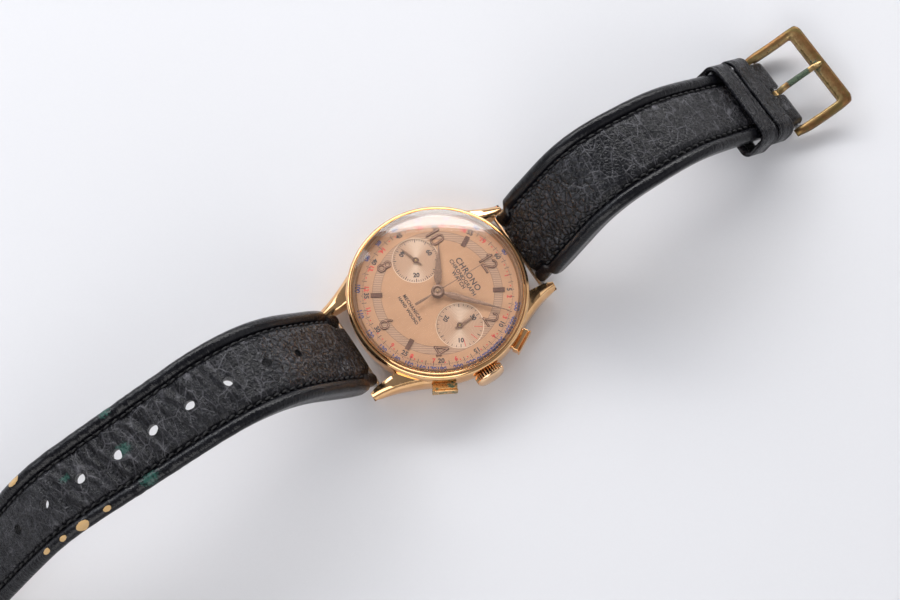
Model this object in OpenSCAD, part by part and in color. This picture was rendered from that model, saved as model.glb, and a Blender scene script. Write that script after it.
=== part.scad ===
// Two-register chronograph wristwatch on a padded leather strap, lying on its case back.
// The origin is on the flat of the case back, under the hands. +X points to the crown,
// +Y to twelve o'clock and +Z up, out of the dial. Millimetres.

/* [Case] */
// Radius of the bezel
bezel_r = 18.6; // [18.5:0.05:18.8]
// Radius of the case body at its widest
flank_r = 18.35; // [18.2:0.05:18.4]
// Distance from the dial axis to the lug tips, along the strap
lug_reach = 22.4; // [22.2:0.1:22.8]
// Width of the gap between two lugs
lug_gap = 18; // [18:0.1:18.4]
// Width of one lug at its tip
lug_w = 2.15; // [1.9:0.05:2.4]
// Height of the top of the domed crystal
crystal_top = 12.6; // [12.4:0.1:13.2]
// Radius of the crown
crown_r = 3.1; // [2.8:0.1:3.2]
// Angle of each pusher from the crown
pusher_angle = 28.5; // [27:0.5:30]

/* [Dial] */
// Distance from the dial's centre to each small dial
register_x = 8.33; // [8.33:0.01:8.4]
// Radius of each small dial
register_r = 4.85; // [4.5:0.05:5]
// Height of the applied numerals
numeral_h = 2.7; // [2.2:0.1:3]
// Width of the applied hour bars
bar_mark_w = 0.95; // [0.6:0.05:1.2]
// Length of the minute hand
minute_len = 15.2; // [13:0.1:15.3]
// Length of the hour hand
hour_len = 11.3; // [9:0.1:11.6]

/* [Strap] */
// Width of both straps beside the lugs
strap_w = 19.8; // [19:0.1:20.4]
// Width of the short strap at the buckle
buckle_end_w = 16.6; // [16:0.1:16.8]
// Width of the long strap near its tip
tail_w = 16.6; // [16:0.1:17]
// Greatest thickness of the padding
strap_t = 4.4; // [4:0.1:4.6]
// Diameter of the holes in the long strap
hole_d = 1.8; // [1.4:0.1:2.2]
// Number of holes in the long strap
hole_n = 10; // [7:1:10]

/* [Hidden] */
$fn = 48;
e = 0.01;

// Heights of the case and the movement, from the case back up
back_z = 0.95;
plug_z = 1.9;
case_top = 7.25;
bezel_top = 9.3;
dial_z = 7.3;
dial_t = 0.4;
dial_top = dial_z + dial_t;
plate_z0 = 5.2;
plate_z1 = 6.95;
pocket_z = 6.0;
bridge_z0 = 2.65;
bridge_z1 = 3.35;
stem_z = 4.6;

// Radii of the case and the movement
cavity_r = 16.15;
dial_r = 17.2;
crystal_r = 17.45;
bezel_in = 17.5;
plate_r = 15.2;

// Lugs and spring bars
bar_y = 20.3;
bar_z = 3.0;
bar_r = 0.75;
bar_tip_r = 0.4;
bar_len = 17.2;
bar_bite = 1.2;

// Places of the movement's axes
barrel_at = [3.2, 6.6];
crown_wheel_at = [9.4, 6.2];
minute_wheel_at = [2.9, -2.2];
third_at = [-4.6, -4.6];
fourth_at = [-register_x, 0];
counter_at = [register_x, 0];
escape_at = [-11.5, -4.6];
pallet_at = [-9.9, -8.0];
balance_at = [-5.2, -10.2];
arbor_r = 0.2;
runner_r = 0.14;
pivot_gap = 0.04;
jewel_r = 0.9;
screw_r = 0.35;
pillar_r = 0.62;
screw_ring = 14.2;
barrel_screws = [40, 100, 150];
train_screws = [-15, -60, 188];
chrono_posts = [-5.7, 12.7];

// The way each strap leaves its bar and bends: [start, length, change of angle]
line_step = 2;
short_len = 82;
short_lead = 54;
short_bends = [[16, 20, -58], [36, 20, -31.3]];
long_len = 119.5;
long_lead = 53;
long_bends = [[18, 32.5, -62.6], [70, 19, -33.8], [100, 14, 22.6]];
wide_from = 5.0;
neck_w = 17.4;
skin_t = 0.9;
hole_first = 22.4;
hole_pitch = 8.2;

// Keepers and buckle
fixed_s = 71.3;
fixed_w = 5.2;
float_w = 5.4;
float_s = fixed_s - float_w - 0.1;
keeper_w = 20.8;
keeper_t = 1.1;
tail_t = 2.4;
buckle_end_t = 3.0;
fixed_room = buckle_end_t + 0.8;
float_room = buckle_end_t + tail_t + 0.2;
buckle_w = 20.4;
arm_w = 1.6;
buckle_len = 13.2;
front_w = 3.0;
frame_h = 2.2;
buckle_pitch = 12;
fold_r = 2.0;
tongue_w = 1.3;
applied_t = 0.16;
slot_w = 2.4;

// ---------- helpers ----------
function smooth(u) = let (c = min(1, max(0, u))) c * c * (3 - 2 * c);
function total(v, i = 0) = i < len(v) ? v[i] + total(v, i + 1) : 0;
function bend(a, b, c, n = 8) =
    [for (i = [0:n]) let (t = i / n) a * (1 - t) * (1 - t) + b * 2 * t * (1 - t) + c * t * t];
function ring_pts(r, a0, a1, n = 12) = [for (i = [0:n]) r * [cos(a0 + (a1 - a0) * i / n),
        sin(a0 + (a1 - a0) * i / n)]];
function gear_pts(teeth, r, depth) = [for (i = [0:teeth - 1], k = [0:3])
    let (a = 360 / teeth * (i + [0, 0.22, 0.5, 0.72][k]), q = k == 1 || k == 0 ? r : r - depth)
            q * [cos(a), sin(a)]];

// Angle and place of a strap's middle line at a distance along it from its bar
function strap_angle(s, lead, bends) = lead + total([for (b = bends) b[2] * smooth((s - b[0]) / b[1])]);
function strap_line(length, lead, bends) = let (n = ceil(length / line_step), d = length / n)
    [for (i = 0, y = bar_y, z = bar_z, a = lead; i <= n;
        a = strap_angle((i + 0.5) * d, lead, bends), y = y + d * cos(a), z = z + d * sin(a), i = i + 1)
        [y, z, strap_angle(i * d, lead, bends), i * d]];
function at_s(path, s) = let (d = path[1][3], i = min(len(path) - 2, floor(s / d)), f = s / d - i)
    path[i] * (1 - f) + path[i + 1] * f;
function thickness(s, end_t) = 2.9 + (strap_t - 2.9) * smooth((s - 1) / 9) - (strap_t - end_t)
        * smooth((s - 12) / 40);
function edge_pts(path, end_t, k, drop = 0) = [for (p = path)
    let (o = k * thickness(p[3], end_t) / 2 - drop) [p[0] - sin(p[2]) * o, p[1] + cos(p[2]) * o]];

short_path = strap_line(short_len, short_lead, short_bends);
long_path = strap_line(long_len, long_lead, long_bends);
pin = at_s(short_path, short_len);
tail = at_s(long_path, long_len);

module at(p, z = 0) { translate([p[0], p[1], z]) children(); }
module along_x() { rotate([90, 0, 90]) children(); }
module rod(r, z0, z1) { translate([0, 0, z0]) cylinder(r = r, h = z1 - z0); }
module toothed(teeth, r, z, h, depth = 0.25, windows = 0, window_r = 0.8) {
    difference() {
        translate([0, 0, z]) linear_extrude(h) polygon(gear_pts(teeth, r, depth));
        for (i = [0:1:windows - 1]) rotate(360 / windows * i) translate([r * 0.55, 0, z - e])
                cylinder(r = window_r, h = h + 2 * e);
    }
}
module pins_at(list, r, z0, z1) { for (p = list) at(p) rod(r, z0, z1); }
module rim_pins(angles, r, z0, z1) { for (a = angles) rotate(a) translate([screw_ring, 0, 0]) rod(r, z0,
        z1); }
module pusher_frame(sign) { rotate(sign * pusher_angle) translate([0, 0, stem_z]) children(); }
module x_rod(r, x0, x1) { translate([x0, 0, 0]) rotate([0, 90, 0]) cylinder(r = r, h = x1 - x0); }

// ---------- case ----------
module lug() {
    half = lug_gap / 2;
    plan = concat([[half, 12], [half, lug_reach - 0.3], [half + 0.3, lug_reach], [half + lug_w - 0.4,
            lug_reach]],
        bend([half + lug_w, lug_reach - 0.4], [half + lug_w + 0.6, 16.5], [15.6, 9.6], 7), [[12, 9]]);
    side = concat([[8, 1.0], [20.8, 0.95], [lug_reach, 1.7]],
        bend([lug_reach, 2.7], [21, 6.2], [14, case_top], 8), [[8, case_top]]);
    intersection() {
        linear_extrude(case_top + 1) polygon(plan);
        translate([7, 0, 0]) along_x() linear_extrude(10) polygon(side);
    }
}
module case_middle() {
    color("goldenrod") difference() {
        union() {
            rotate_extrude($fn = 120) polygon([[0, back_z + e], [17.0, back_z + e], [17.7, 1.6], [18.15,
                    2.7],
                [flank_r, 4.2], [flank_r, 6.2], [18.25, case_top], [0, case_top]]);
            for (sx = [0, 1], sy = [0, 1]) mirror([sx, 0, 0]) mirror([0, sy, 0]) lug();
        }
        rod(cavity_r, 0, case_top + 1);
        for (sy = [-1, 1]) translate([0, sy * bar_y, bar_z]) rotate([0, 90, 0])
            cylinder(r = bar_tip_r + 0.04, h = lug_gap + 2 * bar_bite + 0.2, center = true);
        translate([0, 0, stem_z]) x_rod(1.3, 15, 20);
        for (s = [-1, 1]) pusher_frame(s) {
            x_rod(1.1, 15, 18);
            translate([17.35, -2.75, -1.3]) cube([3, 5.5, 2.6]);
        }
    }
}
module bezel() {
    color("gold") rotate_extrude($fn = 120) polygon(concat([[bezel_in, case_top], [18.45, case_top],
            [bezel_r, case_top + 0.35]],
        bend([bezel_r, 8.1], [bezel_r - 0.1, 9.25], [bezel_in + 0.25, bezel_top], 6), [[bezel_in,
                bezel_top - 0.1]]));
}
module crystal() {
    rim_z = 10.0;
    dome = (pow(crystal_r, 2) + pow(crystal_top - rim_z, 2)) / (2 * (crystal_top - rim_z));
    color("white") difference() {
        intersection() {
            rod(crystal_r, dial_top + 0.05, crystal_top + 1, $fn = 120);
            translate([0, 0, crystal_top - dome]) sphere(r = dome, $fn = 120);
        }
        intersection() {
            rod(crystal_r - 0.7, dial_top - 1, crystal_top, $fn = 120);
            translate([0, 0, crystal_top - dome]) sphere(r = dome - 1.2, $fn = 120);
        }
    }
}
module tension_ring() {
    color("gold") difference() { rod(crystal_r - 0.73, dial_top, dial_top + 0.5); rod(crystal_r - 0.95,
            dial_z, dial_top + 1); }
}
module case_back() {
    color("silver") difference() {
        union() {
            rotate_extrude($fn = 120) polygon([[0, 0], [15.2, 0], [16.6, 0.35], [17.0, back_z], [0,
                    back_z]]);
            rod(cavity_r - 0.03, back_z - e, plug_z);
        }
        rod(cavity_r - 0.75, back_z, plug_z + 1);
    }
}
module spring_bar(side) {
    color("silver") translate([0, side * bar_y, bar_z]) rotate([0, 90, 0]) {
        cylinder(r = bar_r, h = bar_len, center = true);
        cylinder(r = bar_tip_r, h = lug_gap + 2 * bar_bite, center = true);
    }
}
module spring_bar_12() { spring_bar(1); }
module spring_bar_6() { spring_bar(-1); }

// ---------- crown and pushers ----------
module crown() {
    color("gold") translate([0, 0, stem_z]) difference() {
        union() {
            translate([18.65, 0, 0]) along_x() linear_extrude(1.6) polygon(gear_pts(34, crown_r, 0.26));
            rotate([0, 90, 0]) rotate_extrude() polygon(concat([[0, 20.2], [crown_r - 0.3, 20.2]],
                bend([crown_r - 0.3, 20.45], [crown_r - 0.7, 20.8], [0, 20.85], 6)));
        }
        x_rod(1.68, 18, 20.1);
    }
}
module crown_seal() { color("dimgray") translate([0, 0, stem_z]) difference() { x_rod(1.64, 18.9, 19.5);
        x_rod(1.33, 18, 20); } }
module crown_tube() { color("silver") translate([0, 0, stem_z]) difference() { x_rod(1.3, 16.2, 18.85);
        x_rod(0.56, 15, 20); }
    color("silver") translate([0, 0, stem_z]) difference() { x_rod(1.29, 18.85, 19.9); x_rod(0.56, 18,
            20); } }
module winding_stem() { color("silver") translate([0, 0, stem_z]) x_rod(0.5, 9.5, 20.1); }
module sliding_pinion() {
    color("silver") translate([10.4, 0, stem_z]) difference() {
        along_x() linear_extrude(1.5) polygon(gear_pts(12, 1.05, 0.25));
        x_rod(0.5, -1, 3);
    }
}
module pusher(sign) {
    color("gold") pusher_frame(sign) {
        x_rod(0.6, 16.3, 18.42);
        intersection() {
            translate([18.4, -2.65, -1.2]) cube([2.05, 5.3, 2.4]);
            translate([17.2, 0, 0]) scale(1) cylinder(r = 3.95, h = 4, center = true, $fn = 96);
        }
    }
}
module pusher_2() { pusher(1); }
module pusher_4() { pusher(-1); }
module pusher_tubes() {
    color("silver") for (s = [-1, 1]) pusher_frame(s) difference() { x_rod(1.1, 16.2, 17.3); x_rod(0.66,
            15, 18); }
}

// ---------- dial and hands ----------
module dial() {
    color("burlywood") difference() {
        union() { rod(dial_r, dial_z, dial_top, $fn = 120); rim_dial_feet(); }
        rod(1.0, dial_z - 1, dial_top + 1);
        for (p = [fourth_at, counter_at]) at(p) { rod(0.35, dial_z - 1, dial_top + 1); rod(register_r,
                dial_top - 0.15, dial_top + 1); }
    }
}
module rim_dial_feet() { for (a = [62, 242]) rotate(a) translate([13, 0, 0]) rod(0.35, pocket_z + 0.3,
        dial_z + e); }
module stroke(a, b, w) {
    d = (b - a) / norm(b - a) * w / 2;
    n = [-d[1], d[0]];
    linear_extrude(applied_t) polygon([a - d + n, b + d + n, b + d - n, a - d - n]);
}
module arc(c, r, a0, a1, w) {
    translate(c) linear_extrude(applied_t) polygon(concat(ring_pts(r + w / 2, a0, a1, 16),
            ring_pts(r - w / 2, a1, a0, 16)));
}
module loop(c, r, w) {
    translate(c) difference() { cylinder(r = r + w / 2, h = applied_t); translate([0, 0, -1])
            cylinder(r = r - w / 2, h = 3); }
}
module digit(d, w) {
    h = numeral_h;
    r = h * 0.26;
    if (d == 1) { stroke([0, 0], [0, h], w); stroke([0, h], [-0.45, h * 0.78], w); }
    if (d == 0) { arc([0, r], r, 178, 362, w); arc([0, h - r], r, -2, 182, w); for (s = [-1, 1])
            stroke([s * r, r], [s * r, h - r], w); }
    if (d == 2) { arc([0, h - r], r, -35, 165, w); stroke([r * 0.85, h * 0.56], [-r * 1.3, 0], w);
            stroke([-r * 1.3, 0], [r * 1.3, 0], w); }
    if (d == 4) { stroke([r * 0.8, h * 0.04], [r * 0.8, h], w); stroke([r * 0.8, h], [-r * 1.6,
            h * 0.25], w);
        stroke([-r * 1.6, h * 0.25], [r * 1.3, h * 0.25], w); }
    if (d == 6) { loop([0, r * 1.15], r * 1.15, w); arc([r * 1.9, r * 1.2], r * 3.0, 122, 184, w); }
    if (d == 8) { loop([0, r * 0.95], r, w); loop([0, h - r * 0.8], r * 0.85, w); }
}
module numeral(hour, digits) {
    at(12.3 * [sin(hour * 30), cos(hour * 30)]) for (i = [0:len(digits) - 1])
        translate([(i - (len(digits) - 1) / 2) * 1.75, -numeral_h / 2]) digit(digits[i], 0.42);
}
module applied_numerals() {
    color("sienna") translate([0, 0, dial_top]) {
        numeral(12, [1, 2]);
        numeral(10, [1, 0]);
        for (n = [2, 4, 6, 8]) numeral(n, [n]);
    }
}
module applied_bars() {
    color("sienna") translate([0, 0, dial_top]) for (h = [1, 5, 7, 11]) rotate(-30 * h)
        translate([-bar_mark_w / 2, 11.3, 0]) cube([bar_mark_w, 2.4, applied_t]);
}
module leaf(reach, base, back, waist) {
    polygon([[0, reach], [base * 0.25, reach * 0.72], [base / 2, reach * 0.3], [waist / 2, 0.9],
            [waist / 2, -back],
        [-waist / 2, -back], [-waist / 2, 0.9], [-base / 2, reach * 0.3], [-base * 0.25, reach * 0.72]]);
}
module hand(angle, z, t, hub, bore) {
    rotate(-angle) difference() {
        union() {
            translate([0, 0, z]) linear_extrude(t) children();
            rod(hub, z, z + t);
        }
        if (bore > 0) rod(bore, z - 1, z + 2);
    }
}
module hour_hand() { color("sienna") hand(304, 7.98, 0.18, 1.35, 0.9) leaf(hour_len, 1.6, 1.2, 0.9); }
module minute_hand() { color("sienna") hand(48, 8.28, 0.16, 1.05, 0.62) leaf(minute_len, 1.3, 1.1, 0.8); }
module chrono_seconds_hand() {
    color("sienna") {
        hand(0, 8.66, 0.12, 0.75, runner_r) leaf(15.0, 0.42, 5.4, 0.5);
        difference() { rod(0.6, 8.78, 9.05); rod(runner_r, 8, 10); }
    }
}
module small_hand(reach, back) { hand(0, dial_top + 0.03, 0.1, 0.42, arbor_r) leaf(reach, 0.5, back,
        0.36); }
module small_seconds_hand() { color("sienna") at(fourth_at) rotate(-252) small_hand(4.2, 1.4); }
module minute_counter_hand() { color("sienna") at(counter_at) small_hand(3.7, 1.1); }

// ---------- movement plates ----------
module movement_ring() {
    color("darkkhaki") difference() {
        rod(cavity_r - 0.05, 2.7, 6.9);
        rod(plate_r + 0.2, 2, 8);
        translate([14, -1.4, stem_z - 1.4]) cube([4, 2.8, 2.8]);
        for (s = [-1, 1]) pusher_frame(s) x_rod(0.85, 14, 18);
    }
}
module mainplate() {
    color("silver") difference() {
        rod(plate_r, plate_z0, plate_z1);
        rod(3.4, pocket_z, 8);
        at(minute_wheel_at) rod(2.95, pocket_z, 8);
        at(minute_wheel_at) rod(0.3, 5, 8);
        rod(0.46, 5, 8);
        pins_at([fourth_at, third_at, counter_at, escape_at, pallet_at, balance_at], arbor_r + pivot_gap,
                5, 8);
        at(barrel_at) rod(0.84, 5, 8);
        rim_pins(barrel_screws, screw_r, 5, 6.5);
        rim_pins(train_screws, screw_r, 5, 6.5);
        for (a = [62, 242]) rotate(a) translate([13, 0, 0]) rod(0.35, pocket_z, 8);
        translate([9.2, -1.4, 3]) cube([7, 2.8, 3]);
    }
}
module barrel_bridge() {
    color("silver") difference() {
        union() {
            intersection() { rod(plate_r, bridge_z0, bridge_z1); translate([-20, 1.35, 0]) cube([40, 20,
                    10]); }
            rim_pins(barrel_screws, pillar_r, bridge_z1 - e, plate_z0);
        }
        at(barrel_at) rod(0.84, 2, 4);
        at(crown_wheel_at) rod(0.5, 2, 4);
        rim_pins(barrel_screws, screw_r, 2, 6);
    }
}
module train_bridge() {
    color("silver") difference() {
        union() {
            intersection() { rod(plate_r, bridge_z0, bridge_z1); translate([-20, -20, 0]) cube([40, 21.2,
                    10]); }
            rim_pins(train_screws, pillar_r, bridge_z1 - e, plate_z0);
        }
        rod(0.46, 2, 4);
        at(counter_at) rod(arbor_r + pivot_gap, 2, 4);
        pins_at([fourth_at, third_at, escape_at, pallet_at], jewel_r, 2, 4);
        at(balance_at) rod(4.1, 2, 4);
        rim_pins(train_screws, screw_r, 2, 6);
        for (x = chrono_posts) translate([x, 0, 0]) rod(screw_r, 2, 3);
        at([1.6, -11.2]) rod(screw_r, 2, 3.1);
    }
}
module balance_cock() {
    foot = [1.6, -11.2];
    color("silver") difference() {
        union() {
            at(foot) rod(1.5, 1.35, bridge_z0);
            translate([balance_at[0], balance_at[1] - 0.9, 1.35]) rotate(-8) cube([6.8, 1.8, 0.6]);
            at(balance_at) rod(1.3, 1.35, 1.95);
        }
        at(balance_at) rod(arbor_r + pivot_gap, 1, 3);
        at(foot) rod(screw_r, 1, 3);
    }
}
module chronograph_bridge() {
    color("silver") difference() {
        union() {
            translate([chrono_posts[0] - 0.8, -0.9, 1.15]) cube([chrono_posts[1] - chrono_posts[0] + 1.6,
                    1.8, 0.4]);
            for (x = chrono_posts) translate([x, 0, 0]) rod(0.8, 1.15, bridge_z0);
        }
        rod(runner_r + pivot_gap, 1, 2);
        at(counter_at) rod(arbor_r + pivot_gap, 1, 2);
        for (x = chrono_posts) translate([x, 0, 0]) rod(screw_r, 1, 3);
    }
}
module jewels() {
    color("crimson") for (p = [fourth_at, third_at, escape_at, pallet_at]) at(p)
        difference() { rod(jewel_r, bridge_z0 + 0.05, bridge_z1 - 0.05); rod(arbor_r + pivot_gap, 2, 4); }
}
module screw(z0, z1) { rod(screw_r, z0, z1); difference() { rod(0.6, z0 - 0.3, z0); translate([-1, -0.08,
        z0 - 0.31]) cube([2, 0.16, 0.13]); } }
module movement_screws() {
    color("steelblue") {
        for (a = concat(barrel_screws, train_screws)) rotate(a) translate([screw_ring, 0, 0])
                screw(bridge_z0, 6.3);
        for (x = chrono_posts) translate([x, 0, 0]) rod(screw_r, 1.15, 2.95);
        at([1.6, -11.2]) rod(screw_r, 1.35, 3.05);
    }
}

// ---------- motion work, train, escapement, chronograph wheels ----------
module hour_wheel() {
    color("khaki") difference() {
        union() { toothed(36, 3.0, 6.55, 0.2, 0.3, 5, 0.5); rod(0.9, 6.55, 8.16); }
        rod(0.66, 6, 9);
    }
}
module cannon_pinion() {
    color("silver") difference() {
        union() { toothed(12, 0.9, 6.1, 0.35, 0.2); rod(0.62, 6.1, 8.45); }
        rod(0.4, 6, 9);
    }
}
module minute_wheel() {
    color("khaki") at(minute_wheel_at) { toothed(36, 2.66, 6.1, 0.2, 0.3); toothed(12, 0.6, 6.29, 0.5,
            0.15); rod(0.26, 5.3, 6.2); }
}
module barrel() {
    color("khaki") at(barrel_at) difference() {
        union() { rod(5.7, 3.5, 4.75); toothed(80, 6.3, 4.45, 0.3, 0.35); }
        rod(5.3, 3.75, 4.5);
        rod(0.84, 3, 5);
    }
}
module barrel_arbor() { color("silver") at(barrel_at) { rod(0.8, 2.52, 5.9); rod(0.5, 2.2, 2.53); } }
module ratchet_wheel() {
    color("silver") at(barrel_at) difference() { toothed(48, 4.2, 2.28, 0.24, 0.25); rod(0.5, 2, 3); }
}
module crown_wheel() { color("silver") at(crown_wheel_at) { toothed(22, 1.93, 2.28, 0.24, 0.25);
        rod(0.46, 2.5, 3.3); } }
module centre_wheel() {
    color("khaki") difference() {
        union() {
            toothed(80, 5.8, 4.87, 0.18, 0.25, 5, 1.4);
            toothed(10, 0.92, 4.4, 0.35, 0.25);
            rod(0.4, 2.75, 8.3);
        }
        rod(0.19, 2, 9);
    }
}
module third_wheel() {
    color("khaki") at(third_at) { toothed(75, 5.3, 4.0, 0.18, 0.25, 5, 1.3); toothed(10, 0.6, 4.76, 0.36,
            0.16); rod(arbor_r, 2.8, 5.9); }
}
module fourth_wheel() {
    color("khaki") at(fourth_at) { toothed(80, 5.05, 3.6, 0.18, 0.25, 5, 1.3); toothed(10, 0.54, 3.9,
            0.4, 0.16); rod(arbor_r, 2.8, dial_top + 0.2); }
}
module escape_wheel() {
    color("silver") at(escape_at) { toothed(15, 2.2, 4.4, 0.2, 0.5); toothed(8, 0.48, 3.5, 0.36, 0.15);
            rod(arbor_r, 2.8, 5.9); }
}
module pallet_fork() {
    to_staff = atan2(balance_at[1] - pallet_at[1], balance_at[0] - pallet_at[0]);
    color("silver") at(pallet_at) {
        translate([0, 0, 4.42]) linear_extrude(0.2) {
            rotate(to_staff) translate([0, -0.2]) square([4.2, 0.4]);
            for (s = [-1, 1]) rotate(to_staff + 115 + 62 * s * 0.5 + 30) translate([0, -0.2])
                    square([1.2, 0.4]);
            circle(r = 0.5);
        }
        rod(arbor_r, 2.8, 5.9);
    }
}
module balance_wheel() {
    color("gold") at(balance_at) {
        difference() { rod(3.7, 2.95, 3.35); rod(3.2, 2, 4); }
        translate([-3.3, -0.2, 3.0]) cube([6.6, 0.4, 0.3]);
        for (i = [0:11]) rotate(30 * i + 15) translate([3.6, 0, 3.15]) rotate([0, 90, 0])
                cylinder(r = 0.14, h = 0.35);
        rod(arbor_r, 1.45, 5.9);
        rod(0.55, 4.4, 4.6);
    }
}
module hairspring() {
    turns = 7;
    n = turns * 20;
    function coil(k) = [for (i = [0:n]) let (a = 360 * turns * i / n, r = 0.55 + 1.9 * i / n + k)
            r * [cos(a), sin(a)]];
    color("steelblue") at(balance_at, 2.3) difference() {
        union() {
            linear_extrude(0.16) polygon(concat(coil(0.03), [for (i = [n:-1:0]) coil(-0.03)[i]]));
            cylinder(r = 0.56, h = 0.2);
        }
        translate([0, 0, -1]) cylinder(r = arbor_r, h = 3);
    }
}
module heart(r) { polygon([for (a = [0:15:345]) let (q = r * (0.45 + 0.55 * abs(a - 180) / 180))
        q * [cos(a), sin(a)]]); }
module chrono_runner() {
    color("khaki") { toothed(100, 4.0, 1.7, 0.18, 0.15, 5, 1.0); translate([0, 0, 1.87])
            linear_extrude(0.45) heart(1.5); rod(runner_r, 1.2, 9.05); }
}
module minute_runner() {
    color("khaki") at(counter_at) { toothed(60, 3.0, 1.7, 0.18, 0.2, 4, 0.8); translate([0, 0, 1.87])
            linear_extrude(0.45) heart(1.3);
        rod(arbor_r, 1.2, dial_top + 0.2); }
}

// ---------- straps ----------
// Plan of a strap: narrow between the lugs, wide beyond them, then tapering
module strap_plan(reach, end_w, y_wide, inset) {
    half = strap_w / 2 - inset;
    end = end_w / 2 - inset;
    polygon([[-neck_w / 2 + inset, 15], [neck_w / 2 - inset, 15], [neck_w / 2 - inset, y_wide],
            [half - 0.4, y_wide],
        [half, y_wide + 0.6], [end, reach], [end, reach + 30], [-end, reach + 30], [-end, reach],
        [-half, y_wide + 0.6], [-half + 0.4, y_wide], [-neck_w / 2 + inset, y_wide]]);
}
module strap_slab(path, end_t, top, top_drop, bottom, bottom_drop) {
    translate([-15, 0, 0]) along_x() linear_extrude(30)
        polygon(concat(edge_pts(path, end_t, top, top_drop), [for (i = [len(path) - 1:-1:0])
                edge_pts(path, end_t, bottom, bottom_drop)[i]]));
}
function inner_part(path, s0, s1) = [for (p = path) if (p[3] >= s0 - e && p[3] <= s1 + e) p];
module filler(path, end_t, reach, end_w, y_wide, s1) {
    intersection() {
        strap_slab(inner_part(path, 6, s1), end_t, 1, skin_t, -1, -skin_t);
        linear_extrude(60) strap_plan(reach, end_w, y_wide, 1.3);
    }
}
module lining(path, end_t, reach, end_w, y_wide, s1) {
    intersection() {
        strap_slab(inner_part(path, 6, s1), end_t, -1, -skin_t, -1, 0);
        linear_extrude(60) strap_plan(reach, end_w, y_wide, 1.3);
    }
}
module whole_strap(path, end_t, reach, end_w, y_wide) {
    difference() {
        union() {
            intersection() {
                strap_slab(path, end_t, 1, 0, -1, 0);
                linear_extrude(60) strap_plan(reach, end_w, y_wide, 0);
            }
            translate([0, bar_y, bar_z]) rotate([0, 90, 0]) cylinder(r = 1.45, h = neck_w, center = true);
        }
        translate([0, bar_y, bar_z]) rotate([0, 90, 0]) cylinder(r = bar_r + 0.08, h = 30, center = true);
    }
}
module stitch_row(path, end_t, s0, s1, pitch, x0, x1) {
    n = floor((s1 - s0) / pitch);
    for (i = [0:n], sx = [-1, 1]) {
        q = at_s(path, s0 + i * pitch);
        translate([sx * (x0 + (x1 - x0) * i / n), q[0], q[1]]) rotate([q[2], 0, 0])
            translate([-0.15, -pitch * 0.3, thickness(q[3], end_t) / 2]) cube([0.3, pitch * 0.6, 0.12]);
    }
}
y_wide_12 = at_s(short_path, wide_from)[0];
y_wide_6 = at_s(long_path, wide_from)[0];
module short_cuts() {
    translate([0, pin[0], pin[1]]) rotate([0, 90, 0]) cylinder(r = 0.83, h = 30, center = true);
    translate([0, pin[0], pin[1]]) rotate([pin[2], 0, 0]) translate([-slot_w / 2, -5, -8]) cube([slot_w,
            12, 16]);
}
module strap_12_leather() {
    color("black") difference() {
        union() {
            whole_strap(short_path, buckle_end_t, pin[0], buckle_end_w, y_wide_12);
            translate([0, pin[0], pin[1]]) rotate([0, 90, 0]) cylinder(r = fold_r, h = buckle_end_w,
                    center = true);
        }
        filler(short_path, buckle_end_t, pin[0], buckle_end_w, y_wide_12, 50);
        lining(short_path, buckle_end_t, pin[0], buckle_end_w, y_wide_12, 70);
        short_cuts();
    }
}
module strap_12_filler() { color("dimgray") filler(short_path, buckle_end_t, pin[0], buckle_end_w,
        y_wide_12, 50); }
module strap_12_lining() { color("saddlebrown") lining(short_path, buckle_end_t, pin[0], buckle_end_w,
        y_wide_12, 70); }
module strap_12_stitching() { color("dimgray") stitch_row(short_path, buckle_end_t, 6, 60, 2.6, 7.8, 6.6); }

module tail_cut() {
    translate([0, tail[0], 0]) linear_extrude(60) difference() {
        translate([-15, -9]) square([30, 20]);
        polygon(concat([[-tail_w, -9], [-tail_w / 2, -8.99]], bend([-tail_w / 2, -8.5], [-7.6, -3.2], [0,
                -0.3], 8),
            bend([0, -0.3], [7.6, -3.2], [tail_w / 2, -8.5], 8), [[tail_w / 2, -8.99], [tail_w, -9]]));
    }
}
module tail_holes() {
    for (i = [0:hole_n - 1]) {
        q = at_s(long_path, hole_first + i * hole_pitch);
        translate([0, q[0], q[1]]) rotate([q[2], 0, 0]) cylinder(r = hole_d / 2, h = 8, center = true);
    }
}
module long_side() { mirror([0, 1, 0]) children(); }
module strap_6_leather() {
    color("black") long_side() difference() {
        whole_strap(long_path, tail_t, tail[0] - 20, tail_w, y_wide_6);
        filler(long_path, tail_t, tail[0] - 20, tail_w, y_wide_6, 60);
        lining(long_path, tail_t, tail[0] - 20, tail_w, y_wide_6, 104);
        tail_cut();
        tail_holes();
    }
}
module strap_6_filler() {
    color("dimgray") long_side() difference() { filler(long_path, tail_t, tail[0] - 20, tail_w, y_wide_6,
            60); tail_holes(); }
}
module strap_6_lining() {
    color("saddlebrown") long_side() difference() { lining(long_path, tail_t, tail[0] - 20, tail_w,
            y_wide_6, 104); tail_holes(); }
}
module strap_6_stitching() { color("dimgray") long_side() stitch_row(long_path, tail_t, 6, 106, 2.6, 7.8,
        6.2); }

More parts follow.
